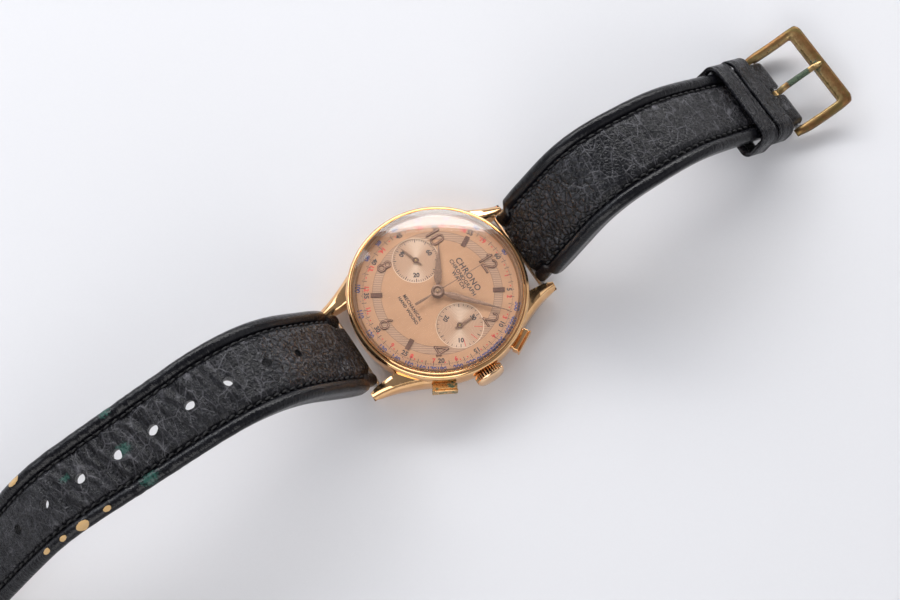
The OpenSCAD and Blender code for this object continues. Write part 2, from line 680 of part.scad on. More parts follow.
// ---------- keepers and buckle ----------
// A loop round the short strap: low is the height of its inner floor from the strap's middle line
module keeper(s0, w, low, room) {
    q = at_s(short_path, s0 + w / 2);
    translate([0, q[0], q[1]]) rotate([q[2], 0, 0]) translate([0, w / 2, 0]) rotate([90, 0, 0])
            linear_extrude(w) difference() {
        translate([-keeper_w / 2, low - keeper_t]) square([keeper_w, room + 2 * keeper_t]);
        translate([-keeper_w / 2 + keeper_t, low]) square([keeper_w - 2 * keeper_t, room]);
    }
}
module fixed_keeper() { color("black") keeper(fixed_s, fixed_w, -buckle_end_t / 2, fixed_room); }
module floating_keeper() { color("black") keeper(float_s, float_w, buckle_end_t / 2 + 0.3 - float_room,
        float_room); }
module buckle_pose() { translate([0, pin[0], pin[1]]) rotate([buckle_pitch, 0, 0]) children(); }
module buckle_frame() {
    color("peru") buckle_pose() difference() {
        union() {
            for (s = [-1, 1]) translate([s * (buckle_w - arm_w) / 2, 0, 0]) {
                translate([-arm_w / 2, 0, -frame_h / 2]) cube([arm_w, buckle_len - front_w + e, frame_h]);
                rotate([0, 90, 0]) cylinder(r = frame_h / 2 + 0.2, h = arm_w, center = true);
            }
            translate([-buckle_w / 2, buckle_len - front_w, -frame_h / 2]) cube([buckle_w, front_w,
                    frame_h]);
        }
        rotate([0, 90, 0]) cylinder(r = 0.45, h = 30, center = true);
        translate([-tongue_w / 2 - 0.15, buckle_len - front_w - 1, frame_h / 2 - 0.5])
                cube([tongue_w + 0.3, front_w, 2]);
    }
}
module buckle_pin() {
    color("silver") buckle_pose() rotate([0, 90, 0]) {
        cylinder(r = 0.75, h = buckle_w - 2 * arm_w - 0.1, center = true);
        cylinder(r = 0.45, h = buckle_w - 0.4, center = true);
    }
}
module buckle_tongue() {
    color("peru") buckle_pose() translate([-tongue_w / 2, 0, 0]) difference() {
        union() {
            rotate([0, 90, 0]) cylinder(r = 1.45, h = tongue_w);
            along_x() linear_extrude(tongue_w) polygon([[0, 0.55], [1.2, 0.5], [10, 0.72], [11.8, 0.72],
                    [11.8, 1.3],
                [11.4, 1.62], [10, 1.65], [1.2, 1.4], [0, 1.45]]);
        }
        translate([-1, 0, 0]) rotate([0, 90, 0]) cylinder(r = 0.79, h = 10);
    }
}

case_middle();
bezel();
crystal();
tension_ring();
case_back();
crown();
crown_seal();
crown_tube();
winding_stem();
sliding_pinion();
pusher_2();
pusher_4();
pusher_tubes();
spring_bar_12();
spring_bar_6();
dial();
applied_numerals();
applied_bars();
hour_hand();
minute_hand();
chrono_seconds_hand();
small_seconds_hand();
minute_counter_hand();
movement_ring();
mainplate();
barrel_bridge();
train_bridge();
balance_cock();
chronograph_bridge();
jewels();
movement_screws();
hour_wheel();
cannon_pinion();
minute_wheel();
barrel();
barrel_arbor();
ratchet_wheel();
crown_wheel();
centre_wheel();
third_wheel();
fourth_wheel();
escape_wheel();
pallet_fork();
balance_wheel();
hairspring();
chrono_runner();
minute_runner();
strap_12_leather();
strap_12_filler();
strap_12_lining();
strap_12_stitching();
strap_6_leather();
strap_6_filler();
strap_6_lining();
strap_6_stitching();
fixed_keeper();
floating_keeper();
buckle_frame();
buckle_pin();
buckle_tongue();
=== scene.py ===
import math

import bmesh
import bpy
from mathutils import kdtree, Matrix, noise, Vector


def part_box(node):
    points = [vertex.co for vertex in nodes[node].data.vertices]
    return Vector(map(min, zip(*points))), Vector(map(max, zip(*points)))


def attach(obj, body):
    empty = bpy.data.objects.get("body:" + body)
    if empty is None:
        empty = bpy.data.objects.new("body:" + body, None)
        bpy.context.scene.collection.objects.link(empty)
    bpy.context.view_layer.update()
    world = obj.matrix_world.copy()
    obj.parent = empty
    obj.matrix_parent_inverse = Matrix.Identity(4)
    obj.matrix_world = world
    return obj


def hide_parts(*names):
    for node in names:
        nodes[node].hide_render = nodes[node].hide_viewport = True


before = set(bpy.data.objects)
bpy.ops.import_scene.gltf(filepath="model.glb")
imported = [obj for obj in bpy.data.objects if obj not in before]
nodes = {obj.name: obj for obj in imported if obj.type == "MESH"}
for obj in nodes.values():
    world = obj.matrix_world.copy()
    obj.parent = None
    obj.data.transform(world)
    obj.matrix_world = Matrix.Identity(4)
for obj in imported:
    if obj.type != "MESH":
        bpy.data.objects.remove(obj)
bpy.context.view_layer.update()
MM = 0.001

# Places and sizes, in millimetres, read from the frame
DIAL_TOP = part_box("applied_bars")[0].z / MM
REGISTER_X = (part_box("minute_runner")[0].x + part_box("minute_runner")[1].x) / 2 / MM
REGISTER_R = 4.85
BAR_Y = (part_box("spring_bar_12")[0].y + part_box("spring_bar_12")[1].y) / 2 / MM
BAR_Z = (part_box("spring_bar_12")[0].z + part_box("spring_bar_12")[1].z) / 2 / MM
PIN_Y = (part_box("buckle_pin")[0].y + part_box("buckle_pin")[1].y) / 2 / MM
PIN_Z = (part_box("buckle_pin")[0].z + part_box("buckle_pin")[1].z) / 2 / MM

# The camera: azimuth and elevation of the photograph's view, and the lens that gives its perspective
CAM_AZ, CAM_EL, CAM_ROLL = 55.07, 71.06, 2.06
CAM_DIST, CAM_LENS = 403.5, 78.4
CAM_TARGET = Vector((1.91, 1.81, 5.0))
bpy.context.scene.view_settings.view_transform = "Standard"


# ---------------------------------------------------------------- camera, light and floor
def view_axes():
    a, e, r = map(math.radians, (CAM_AZ, CAM_EL, CAM_ROLL))
    back = Vector((math.sin(a) * math.cos(e), -math.cos(a) * math.cos(e), math.sin(e)))
    right = Vector((math.cos(a), math.sin(a), 0))
    up = back.cross(right)
    return right * math.cos(r) + up * math.sin(r), up * math.cos(r) - right * math.sin(r), back


def make_camera():
    right, up, back = view_axes()
    data = bpy.data.cameras.new("camera")
    data.lens = CAM_LENS
    data.sensor_width = 36
    data.clip_start = 0.01
    cam = bpy.data.objects.new("camera", data)
    bpy.context.collection.objects.link(cam)
    m = Matrix((right, up, back)).transposed().to_4x4()
    m.translation = (CAM_TARGET + back * CAM_DIST) * MM
    cam.matrix_world = m
    bpy.context.scene.camera = cam


def area(name, turn, height, dist, size, power, colour=(1, 1, 1), target=(0, 0, 0.01)):
    """A softbox. turn is degrees round from the camera's side (90 is its right, 180 the far side); height is its elevation."""
    a, e = math.radians(CAM_AZ - 90 + turn), math.radians(height)
    at = Vector((math.cos(a) * math.cos(e), math.sin(a) * math.cos(e), math.sin(e))) * dist
    data = bpy.data.lights.new(name, "AREA")
    data.shape = "RECTANGLE"
    data.size, data.size_y = size
    data.energy = power
    data.color = colour
    light = bpy.data.objects.new(name, data)
    light.location = at
    light.rotation_euler = (at - Vector(target)).to_track_quat("Z", "Y").to_euler()
    bpy.context.collection.objects.link(light)


def make_world():
    world = bpy.data.worlds.new("studio")
    bpy.context.scene.world = world
    world.use_nodes = True
    nt = world.node_tree
    bg = nt.nodes["Background"]
    tc = nt.nodes.new("ShaderNodeTexCoord")
    sep = nt.nodes.new("ShaderNodeSeparateXYZ")
    ramp = nt.nodes.new("ShaderNodeValToRGB")
    nt.links.new(tc.outputs["Generated"], sep.inputs[0])
    nt.links.new(sep.outputs["Z"], ramp.inputs[0])
    stops = ramp.color_ramp.elements
    stops[0].position, stops[0].color = 0.0, (0.42, 0.41, 0.41, 1)
    stops[1].position, stops[1].color = 1.0, (0.20, 0.205, 0.22, 1)
    for at, level in ((0.28, 0.16), (0.55, 0.30)):
        stops.new(at).color = (level, level, level * 1.06, 1)
    nt.links.new(ramp.outputs[0], bg.inputs[0])
    bg.inputs[1].default_value = 1.0


def make_stage():
    mesh = bpy.data.meshes.new("floor")
    half, edge = 1.6, -0.00015
    mesh.from_pydata([(-half, -half, edge), (half, -half, edge), (half, half, edge), (-half, half, edge)], [], [(0, 1, 2, 3)])
    floor = bpy.data.objects.new("floor", mesh)
    bpy.context.collection.objects.link(floor)
    s = Shader("table_paper")
    tooth = s.noise(s.position(), 2.0, 3, 0.6)
    s.set(Base_Color=s.mix(tooth, (0.80, 0.80, 0.825), (0.82, 0.82, 0.845)), Roughness=0.6, Normal=s.bump(tooth, 0.01, 0.3))
    s.bsdf.inputs["Specular IOR Level"].default_value = 0.25
    mesh.materials.append(s.mat)
    area("key", 184, 30, 0.9, (1.5, 0.24), 4.4, (1, 0.995, 0.985))
    area("key_top", 184, 38, 0.9, (1.3, 0.14), 3.3, (0.99, 0.995, 1))
    area("key_edge", 184, 39, 0.9, (1.3, 0.16), 0.8, (0.985, 0.99, 1))
    area("window", 243, 34, 0.9, (0.55, 0.42), 2.1, (0.88, 0.93, 1))
    area("right_fill", 95, 30, 1.0, (0.8, 0.5), 0.7, (0.97, 0.98, 1))
    area("front_fill", -12, 34, 1.0, (1.3, 0.6), 5.6, (1, 0.99, 0.98))


# ---------------------------------------------------------------- material helpers
class Shader:
    """A small builder for node materials: nodes are made by type and joined by keyword."""

    def __init__(self, name):
        self.mat = bpy.data.materials.new(name)
        self.mat.use_nodes = True
        self.nt = self.mat.node_tree
        self.bsdf = self.nt.nodes["Principled BSDF"]

    def node(self, kind, **inputs):
        n = self.nt.nodes.new(kind)
        for key, value in inputs.items():
            key = key.replace("_", " ")
            if hasattr(n, key.replace(" ", "_").lower()) and key.islower():
                setattr(n, key.replace(" ", "_"), value)
            elif isinstance(value, bpy.types.NodeSocket):
                self.nt.links.new(value, n.inputs[key])
            else:
                n.inputs[key].default_value = value
        return n

    def place(self, name="place", scale=(1, 1, 1)):
        """Coordinates in millimetres from the mesh's own attribute."""
        a = self.nt.nodes.new("ShaderNodeAttribute")
        a.attribute_name = name
        return self.scaled(a.outputs["Vector"], scale)

    def position(self, scale=(1, 1, 1)):
        """Object coordinates in millimetres."""
        t = self.nt.nodes.new("ShaderNodeTexCoord")
        return self.scaled(t.outputs["Object"], tuple(1000 * s for s in scale))

    def scaled(self, vector, scale):
        m = self.nt.nodes.new("ShaderNodeVectorMath")
        m.operation = "MULTIPLY"
        self.nt.links.new(vector, m.inputs[0])
        m.inputs[1].default_value = scale
        return m.outputs[0]

    def noise(self, vector, scale, detail=3.0, rough=0.5, distortion=0.0):
        n = self.nt.nodes.new("ShaderNodeTexNoise")
        self.nt.links.new(vector, n.inputs["Vector"])
        n.inputs["Scale"].default_value = scale
        n.inputs["Detail"].default_value = detail
        n.inputs["Roughness"].default_value = rough
        n.inputs["Distortion"].default_value = distortion
        return n.outputs["Fac"]

    def voronoi(self, vector, scale, feature="F1", randomness=1.0):
        n = self.nt.nodes.new("ShaderNodeTexVoronoi")
        n.feature = feature
        self.nt.links.new(vector, n.inputs["Vector"])
        n.inputs["Scale"].default_value = scale
        n.inputs["Randomness"].default_value = randomness
        return n.outputs["Distance"]

    def math(self, op, a, b=0.0, clamp=False):
        n = self.nt.nodes.new("ShaderNodeMath")
        n.operation = op
        n.use_clamp = clamp
        for i, v in enumerate((a, b)):
            if isinstance(v, bpy.types.NodeSocket):
                self.nt.links.new(v, n.inputs[i])
            else:
                n.inputs[i].default_value = v
        return n.outputs[0]

    def span(self, value, lo, hi, to_lo=0.0, to_hi=1.0):
        n = self.nt.nodes.new("ShaderNodeMapRange")
        n.inputs["From Min"].default_value = lo
        n.inputs["From Max"].default_value = hi
        n.inputs["To Min"].default_value = to_lo
        n.inputs["To Max"].default_value = to_hi
        self.nt.links.new(value, n.inputs["Value"])
        return n.outputs[0]

    def mix(self, factor, a, b):
        n = self.nt.nodes.new("ShaderNodeMix")
        n.data_type = "RGBA"
        if isinstance(factor, bpy.types.NodeSocket):
            self.nt.links.new(factor, n.inputs[0])
        else:
            n.inputs[0].default_value = factor
        for socket, v in ((n.inputs[6], a), (n.inputs[7], b)):
            if isinstance(v, bpy.types.NodeSocket):
                self.nt.links.new(v, socket)
            else:
                socket.default_value = (*v, 1)
        return n.outputs[2]

    def warped(self, vector, scale, amount):
        """Coordinates pushed about by noise, so that cells and lines wander."""
        n = self.nt.nodes.new("ShaderNodeTexNoise")
        self.nt.links.new(vector, n.inputs["Vector"])
        n.inputs["Scale"].default_value = scale
        n.inputs["Detail"].default_value = 3
        m = self.nt.nodes.new("ShaderNodeVectorMath")
        m.operation = "MULTIPLY_ADD"
        self.nt.links.new(n.outputs["Color"], m.inputs[0])
        m.inputs[1].default_value = (amount, amount, 0)
        self.nt.links.new(vector, m.inputs[2])
        return m.outputs[0]

    def parts(self, vector):
        n = self.nt.nodes.new("ShaderNodeSeparateXYZ")
        self.nt.links.new(vector, n.inputs[0])
        return n.outputs

    def bump(self, height, distance, strength=1.0, normal=None):
        """distance is in millimetres."""
        n = self.nt.nodes.new("ShaderNodeBump")
        n.inputs["Distance"].default_value = distance * MM
        n.inputs["Strength"].default_value = strength
        self.nt.links.new(height, n.inputs["Height"])
        if normal is not None:
            self.nt.links.new(normal, n.inputs["Normal"])
        return n.outputs[0]

    def set(self, **values):
        for key, value in values.items():
            socket = self.bsdf.inputs[key.replace("_", " ")]
            if isinstance(value, bpy.types.NodeSocket):
                self.nt.links.new(value, socket)
            else:
                socket.default_value = (*value, 1) if isinstance(value, tuple) and len(value) == 3 else value
        return self


def dress(node, mat, bevel=0.0, smooth=True, segments=3):
    """A carried-over CAD node gets a material and, where bevel is given, a rounded edge; the smooth argument is not
    used.
    """
    obj = nodes[node]
    for i in range(max(1, len(obj.material_slots))):
        if len(obj.material_slots) <= i:
            obj.data.materials.append(mat)
        obj.material_slots[i].link = "OBJECT"
        obj.material_slots[i].material = mat
    if bevel:
        w = obj.modifiers.new("edge", "BEVEL")
        w.width = bevel * MM
        w.segments = segments
        w.limit_method = "ANGLE"
        w.angle_limit = math.radians(28)
        w.harden_normals = False


def build(name, verts, faces, mat, body, attributes=None, smooth=True):
    """A mesh piece from points in millimetres."""
    mesh = bpy.data.meshes.new(name)
    mesh.from_pydata([(x * MM, y * MM, z * MM) for x, y, z in verts], [], faces)
    mesh.update()
    if attributes:
        for key, values in attributes.items():
            a = mesh.attributes.new(key, "FLOAT_VECTOR", "POINT")
            a.data.foreach_set("vector", [c for v in values for c in v])
    if smooth:
        mesh.polygons.foreach_set("use_smooth", [True] * len(mesh.polygons))
    mesh.materials.append(mat)
    obj = bpy.data.objects.new(name, mesh)
    bpy.context.collection.objects.link(obj)
    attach(obj, body)
    return obj


# ---------------------------------------------------------------- materials
def gold(name, colour=(1.0, 0.62, 0.32), rough=0.07, wear=0.5, green=0.0, groove_shade=False):
    """Polished rose gold: fine rubbed scratches, a slow change of tone, verdigris where green is above 0, and, where
    groove_shade is set, painted shade that darkens the flute grooves by their depth from the place attribute.
    """
    s = Shader(name)
    p = s.position()
    blotch = s.noise(p, 0.35, 4, 0.6)
    fine = s.noise(p, 3.2, 3, 0.7)
    scratch = s.noise(s.position((0.25, 3.0, 1.0)), 2.5, 2, 0.5)
    tint = s.mix(s.span(blotch, 0.35, 0.7), colour, tuple(c * k for c, k in zip(colour, (0.88, 0.82, 0.72))))
    rough_map = s.span(s.math("ADD", s.math("MULTIPLY", fine, wear), scratch), 0.5, 1.1, rough * 0.7, rough * 2.2)
    metal = 1.0
    if groove_shade:
        # painted shade: the flute grooves are darkened by their depth, taken from the place attribute
        tint = s.mix(s.span(s.parts(s.place())[0], 0.25, 0.8, 0.0, 0.92), tint, (0.07, 0.035, 0.018))
    if green:
        crust = s.span(s.noise(s.position(), 0.75, 5, 0.7, 0.5), 0.62 - green * 0.2, 0.68 - green * 0.2)
        tint = s.mix(crust, tint, (0.10, 0.17, 0.11))
        rough_map = s.math("ADD", rough_map, s.math("MULTIPLY", crust, 0.5))
        metal = s.span(crust, 0, 1, 1.0, 0.2)
    s.set(Base_Color=tint, Metallic=metal, Roughness=rough_map, Normal=s.bump(s.math("ADD", fine, scratch), 0.004, 0.4))
    return s.mat


def steel(name, colour=(0.62, 0.62, 0.63), rough=0.28):
    s = Shader(name)
    grain = s.noise(s.position((0.3, 6, 1)), 2.0, 3, 0.6)
    s.set(Base_Color=s.mix(grain, colour, tuple(c * 0.85 for c in colour)), Metallic=1.0, Roughness=s.span(grain, 0.3, 0.7, rough * 0.7, rough * 1.3),
          Normal=s.bump(grain, 0.004, 0.4))
    return s.mat


def aged_gilt_painted_shade(name, colour=(0.17, 0.095, 0.065), light=(0.44, 0.29, 0.21), metal=0.4):
    """Dulled gilt, spotted all over, with painted light and shade: pale on the faces that look up, nearly black-brown
    on the sides.
    """
    s = Shader(name)
    spots = s.noise(s.position(), 1.6, 4, 0.65)
    geo = s.nt.nodes.new("ShaderNodeNewGeometry")
    # painted shade: the colour turns from the pale face colour to the dark one as a face turns away from straight up
    up = s.span(s.parts(geo.outputs["Normal"])[2], 0.86, 0.985)
    face = s.mix(s.span(spots, 0.35, 0.68), tuple(c * 0.7 for c in light), light)
    s.set(Base_Color=s.mix(up, colour, face), Metallic=metal, Roughness=s.span(spots, 0.3, 0.7, 0.42, 0.28), Normal=s.bump(spots, 0.01, 0.4))
    return s.mat


def patina_brass(name):
    """Brown-olive brass; the place attribute carries (rub, green, 0): worn bright edges and verdigris."""
    s = Shader(name)
    big = s.noise(s.position(), 0.30, 4, 0.6, 0.4)
    small = s.noise(s.position(), 1.3, 5, 0.7)
    rub, green, _ = s.parts(s.place())
    brown = s.mix(s.span(small, 0.3, 0.7), (0.19, 0.088, 0.034), (0.31, 0.165, 0.066))
    base = s.mix(s.span(big, 0.46, 0.60), brown, (0.19, 0.135, 0.05))
    base = s.mix(s.math("MULTIPLY", rub, s.span(small, 0.25, 0.6)), base, (0.70, 0.52, 0.24))
    crust = s.span(s.math("ADD", green, s.math("MULTIPLY", s.math("SUBTRACT", small, 0.5), 1.5)), 0.45, 0.62)
    base = s.mix(crust, base, s.mix(s.span(s.noise(s.position(), 3.0, 3, 0.6), 0.4, 0.6), (0.035, 0.055, 0.038), (0.10, 0.145, 0.085)))
    s.set(Base_Color=base, Metallic=s.span(crust, 0, 1, 0.88, 0.1), Roughness=s.span(s.math("ADD", small, s.math("MULTIPLY", rub, -0.3)), 0.1, 0.75, 0.26, 0.55),
          Normal=s.bump(s.math("ADD", small, crust), 0.03, 0.6))
    return s.mat


def lining(name):
    s = Shader(name)
    pores = s.voronoi(s.place(), 2.2)
    cloud = s.noise(s.place(), 0.35, 4, 0.6)
    colour = s.mix(s.span(cloud, 0.35, 0.7), (0.16, 0.085, 0.042), (0.085, 0.045, 0.025))
    s.set(Base_Color=colour, Roughness=0.62, Normal=s.bump(pores, 0.08, 0.6))
    return s.mat


def leather(name, dark=(0.0028, 0.0028, 0.0042), worn=(0.13, 0.058, 0.022)):
    """Black calf. wear holds brown wear, bare tan and green stain; zone holds crackle (painted sheen on the raised
    cells, painted shade in the cracks), scuffed lines (partly painted sheen) and cross wrinkles (painted highlight on
    their ridges).
    """
    s = Shader(name)
    p = s.place()
    wear, zone = (s.nt.nodes.new("ShaderNodeAttribute") for _ in range(2))
    wear.attribute_name, zone.attribute_name = "wear", "zone"
    brown, tan, green = s.parts(wear.outputs["Vector"])
    crackle, scuff_and_sheen, wrinkle = s.parts(zone.outputs["Vector"])
    fine = s.noise(p, 2.3, 4, 0.72)
    roll = s.span(s.math("ABSOLUTE", s.parts(p)[0]), 5.2, 6.6)
    ragged = s.noise(p, 0.9, 5, 0.7)
    cloud = s.noise(p, 0.25, 3, 0.6)
    cells = s.voronoi(s.warped(p, 0.55, 0.7), 0.76, "DISTANCE_TO_EDGE")
    crack = s.math("MULTIPLY", s.span(cells, 0.025, 0.13, 1.0, 0.0), crackle)
    cushion_and_sheen = s.math("MULTIPLY", s.span(cells, 0.0, 0.38), crackle)
    grain = s.span(s.voronoi(s.warped(p, 1.3, 0.35), 1.5, "DISTANCE_TO_EDGE"), 0.0, 0.3)
    wide = s.voronoi(s.warped(s.place(scale=(0.62, 1.0, 1)), 0.35, 0.9), 0.50, "DISTANCE_TO_EDGE")
    short = s.voronoi(s.warped(s.place(scale=(0.8, 1.0, 1)), 0.5, 0.7), 1.0, "DISTANCE_TO_EDGE")
    broken = s.span(s.noise(p, 0.35, 3, 0.6), 0.42, 0.60, 0.12, 1.0)
    lines = s.math("MAXIMUM", s.span(wide, 0.0, 0.055, 1.0, 0.0), s.math("MULTIPLY", s.span(short, 0.0, 0.08, 0.55, 0.0), broken))
    lines = s.math("MULTIPLY", s.math("MULTIPLY", lines, broken), scuff_and_sheen)
    specks = s.math("MULTIPLY", s.span(fine, 0.62, 0.72), scuff_and_sheen)
    across = s.noise(s.warped(s.place(scale=(0.16, 1.0, 1)), 0.4, 0.8), 1.15, 4, 0.68)
    ridge = s.math("MULTIPLY", s.span(s.math("ABSOLUTE", s.math("SUBTRACT", across, 0.5)), 0.0, 0.045, 1.0, 0.0), wrinkle)
    colour = s.mix(s.span(fine, 0.35, 0.8), dark, tuple(c * 2.0 for c in dark))
    # painted sheen: the raised cells of the crackle are painted grey, patchy by cloud
    colour = s.mix(s.math("MULTIPLY", cushion_and_sheen, s.span(cloud, 0.38, 0.62, 0.1, 1.0)), colour, (0.052, 0.052, 0.060))
    colour = s.mix(s.span(s.math("MULTIPLY", brown, s.math("ADD", ragged, 0.25)), 0.30, 0.8), colour, worn)
    # painted shade: the cracks between the cells are painted near black
    colour = s.mix(crack, colour, (0.0025, 0.0025, 0.003))
    # light lines: scuffs on the panel, partly a painted sheen on ridges of the grain
    colour = s.mix(s.math("MULTIPLY", lines, 0.6), colour, (0.20, 0.195, 0.215))
    colour = s.mix(s.math("MULTIPLY", specks, 0.15), colour, (0.11, 0.11, 0.12))
    # painted highlight: the ridges of the cross wrinkles are painted lighter
    colour = s.mix(s.math("MULTIPLY", ridge, 0.35), colour, (0.06, 0.06, 0.07))
    colour = s.mix(s.span(s.math("MULTIPLY", green, fine), 0.33, 0.47, 0.0, 0.8), colour, (0.03, 0.105, 0.085))
    colour = s.mix(s.span(s.math("MULTIPLY", tan, s.math("ADD", ragged, 0.3)), 0.42, 0.50), colour, (0.62, 0.40, 0.18))
    soft = s.math("MULTIPLY", s.math("ADD", s.math("MULTIPLY", grain, 0.7), s.math("MULTIPLY", fine, 0.5)), s.span(roll, 0.0, 1.0, 1.0, 0.45))
    bump = s.bump(soft, 0.09, 0.9)
    bump = s.bump(s.math("MULTIPLY", across, wrinkle), 0.6, 1.0, bump)
    bump = s.bump(s.math("ADD", cushion_and_sheen, s.math("SUBTRACT", s.math("MULTIPLY", lines, 0.35), crack)), 0.20, 1.0, bump)
    gloss = s.math("ADD", fine, s.math("MULTIPLY", s.math("SUBTRACT", cloud, 0.5), 0.8))
    s.set(Base_Color=colour, Roughness=s.math("SUBTRACT", s.span(gloss, 0.25, 0.85, 0.17, 0.36), s.math("MULTIPLY", roll, 0.08)), Normal=bump)
    s.bsdf.inputs["Specular IOR Level"].default_value = 0.32
    return s.mat


def thread(name):
    s = Shader(name)
    twist = s.noise(s.position((1, 1, 1)), 6.0, 2, 0.5)
    s.set(Base_Color=s.mix(twist, (0.004, 0.004, 0.005), (0.022, 0.021, 0.022)), Roughness=0.6, Normal=s.bump(twist, 0.04, 0.8))
    return s.mat


def rubbery(name, colour=(0.03, 0.03, 0.03)):
    s = Shader(name)
    n = s.noise(s.position(), 2.0, 3, 0.6)
    s.set(Base_Color=s.mix(n, colour, tuple(c * 1.6 for c in colour)), Roughness=0.65, Normal=s.bump(n, 0.02, 0.5))
    return s.mat


def ruby(name):
    s = Shader(name)
    n = s.noise(s.position(), 1.0, 2, 0.5)
    s.set(Base_Color=s.mix(n, (0.45, 0.02, 0.06), (0.65, 0.05, 0.12)), Roughness=0.08)
    return s.mat


def acrylic(name):
    """Clear crystal: it bends what is behind it, and lets lamps through to the dial."""
    s = Shader(name)
    n = s.noise(s.position(), 0.8, 4, 0.65)
    scuffs = s.noise(s.position((0.4, 2.2, 1)), 3.0, 3, 0.6)
    s.set(Base_Color=(1.0, 1.0, 1.0), Roughness=s.span(s.math("ADD", n, scuffs), 0.8, 1.25, 0.0, 0.035))
    s.bsdf.inputs["Transmission Weight"].default_value = 1.0
    s.bsdf.inputs["IOR"].default_value = 1.12
    s.bsdf.inputs["Coat Weight"].default_value = 1.0
    s.bsdf.inputs["Coat Roughness"].default_value = 0.03
    s.bsdf.inputs["Coat IOR"].default_value = 1.55
    clear = s.nt.nodes.new("ShaderNodeBsdfTransparent")
    path = s.nt.nodes.new("ShaderNodeLightPath")
    mix = s.nt.nodes.new("ShaderNodeMixShader")
    s.nt.links.new(path.outputs["Is Shadow Ray"], mix.inputs[0])
    s.nt.links.new(s.bsdf.outputs[0], mix.inputs[1])
    s.nt.links.new(clear.outputs[0], mix.inputs[2])
    s.nt.links.new(mix.outputs[0], s.nt.nodes["Material Output"].inputs["Surface"])
    return s.mat


def dial_paint(name):
    """Salmon dial with a fine vertical brushing, a hatched hour ring and turned small dials; the small dials carry a
    painted sheen fan and a painted highlight round their rims.
    """
    s = Shader(name)
    p = s.position()
    x, y, _ = s.parts(p)
    radius = s.math("SQRT", s.math("ADD", s.math("MULTIPLY", x, x), s.math("MULTIPLY", y, y)))
    brushed = s.noise(s.position((9.0, 0.5, 1)), 1.0, 3, 0.6)
    stain = s.noise(p, 0.16, 4, 0.6)
    base = s.mix(s.span(stain, 0.35, 0.7), (0.555, 0.305, 0.170), (0.49, 0.265, 0.145))
    base = s.mix(s.span(brushed, 0.3, 0.7, 0, 0.3), base, (0.60, 0.37, 0.23))
    inside = s.math("MULTIPLY", s.math("GREATER_THAN", radius, 11.6), s.math("LESS_THAN", radius, 13.3))
    hatch = s.math("SINE", s.math("MULTIPLY", s.math("ADD", s.math("MULTIPLY", x, 0.83), s.math("MULTIPLY", y, -0.55)), 13.0))
    hatch = s.span(s.math("ADD", hatch, s.noise(p, 0.5, 3, 0.5)), -0.6, 1.6)
    ring = s.mix(hatch, (0.33, 0.20, 0.135), (0.53, 0.34, 0.23))
    base = s.mix(s.math("MULTIPLY", inside, 0.85), base, ring)
    for edge in (11.6, 13.3):
        rim = s.math("COMPARE", radius, edge)
        rim.node.inputs[2].default_value = 0.06
        base = s.mix(s.math("MULTIPLY", rim, 0.7), base, (0.25, 0.14, 0.09))
    dx = s.math("SUBTRACT", x, s.math("MULTIPLY", s.math("SIGN", x), REGISTER_X))
    sub_r = s.math("SQRT", s.math("ADD", s.math("MULTIPLY", dx, dx), s.math("MULTIPLY", y, y)))
    sub = s.math("LESS_THAN", sub_r, REGISTER_R)
    rings = s.math("SINE", s.math("MULTIPLY", sub_r, 22.0))
    # painted sheen: a bright fan on each small dial, always pointing the same fixed way, stands in for the turned
    # surface's reflection
    painted_sheen_fan = s.math("ABSOLUTE", s.math("DIVIDE", s.math("ADD", s.math("MULTIPLY", dx, -0.82), s.math("MULTIPLY", y, 0.57)), s.math("MAXIMUM", sub_r, 0.1)))
    turned_face_and_sheen = s.mix(s.span(rings, -1, 1), (0.55, 0.345, 0.225), (0.45, 0.27, 0.17))
    turned_face_and_sheen = s.mix(s.span(s.math("POWER", painted_sheen_fan, 7.0), 0.0, 1.0, 0.0, 0.5), turned_face_and_sheen, (0.78, 0.60, 0.46))
    base = s.mix(sub, base, turned_face_and_sheen)
    # painted highlight: a bright line round the rim of each small dial's recess
    lip_highlight = s.math("COMPARE", sub_r, REGISTER_R)
    lip_highlight.node.inputs[2].default_value = 0.07
    base = s.mix(s.math("MULTIPLY", lip_highlight, 0.8), base, (0.80, 0.62, 0.46))
    cut = s.math("ADD", s.math("MULTIPLY", sub, rings), s.math("MULTIPLY", s.math("MULTIPLY", inside, hatch), 0.8))
    s.set(Base_Color=base, Metallic=0.35, Roughness=s.span(brushed, 0.3, 0.7, 0.34, 0.44), Normal=s.bump(s.math("ADD", cut, s.math("MULTIPLY", brushed, 0.5)), 0.02, 0.5))
    return s.mat


def ink(name, colour):
    s = Shader(name)
    n = s.noise(s.position(), 2.0, 4, 0.7)
    s.set(Base_Color=s.mix(s.span(n, 0.3, 0.8), colour, tuple(min(1, c + 0.07) for c in colour)), Roughness=0.5)
    return s.mat


# ---------------------------------------------------------------- metal pieces
def loft(rings, caps=True, loop=False):
    """Faces between rings of equal length; loop joins the last ring to the first."""
    verts = [p for ring in rings for p in ring]
    n, m = len(rings[0]), len(rings)
    faces = []
    for i in range(m if loop else m - 1):
        for k in range(n):
            a, b = i * n + k, i * n + (k + 1) % n
            c, d = (i + 1) % m * n + (k + 1) % n, (i + 1) % m * n + k
            faces.append((a, b, c, d))
    if caps and not loop:
        faces.append(tuple(range(n))[::-1])
        faces.append(tuple(range((m - 1) * n, m * n)))
    return verts, faces


def turned(profile, steps=128, radius=None):
    """Rings for a turned shape about Z; profile is a closed list of (r, z); radius(r, z, angle) may change r."""
    rings = []
    for i in range(steps):
        a = 2 * math.pi * i / steps
        ring = []
        for r, z in profile:
            q = radius(r, z, a) if radius else r
            ring.append((q * math.cos(a), q * math.sin(a), z))
        rings.append(ring)
    return rings


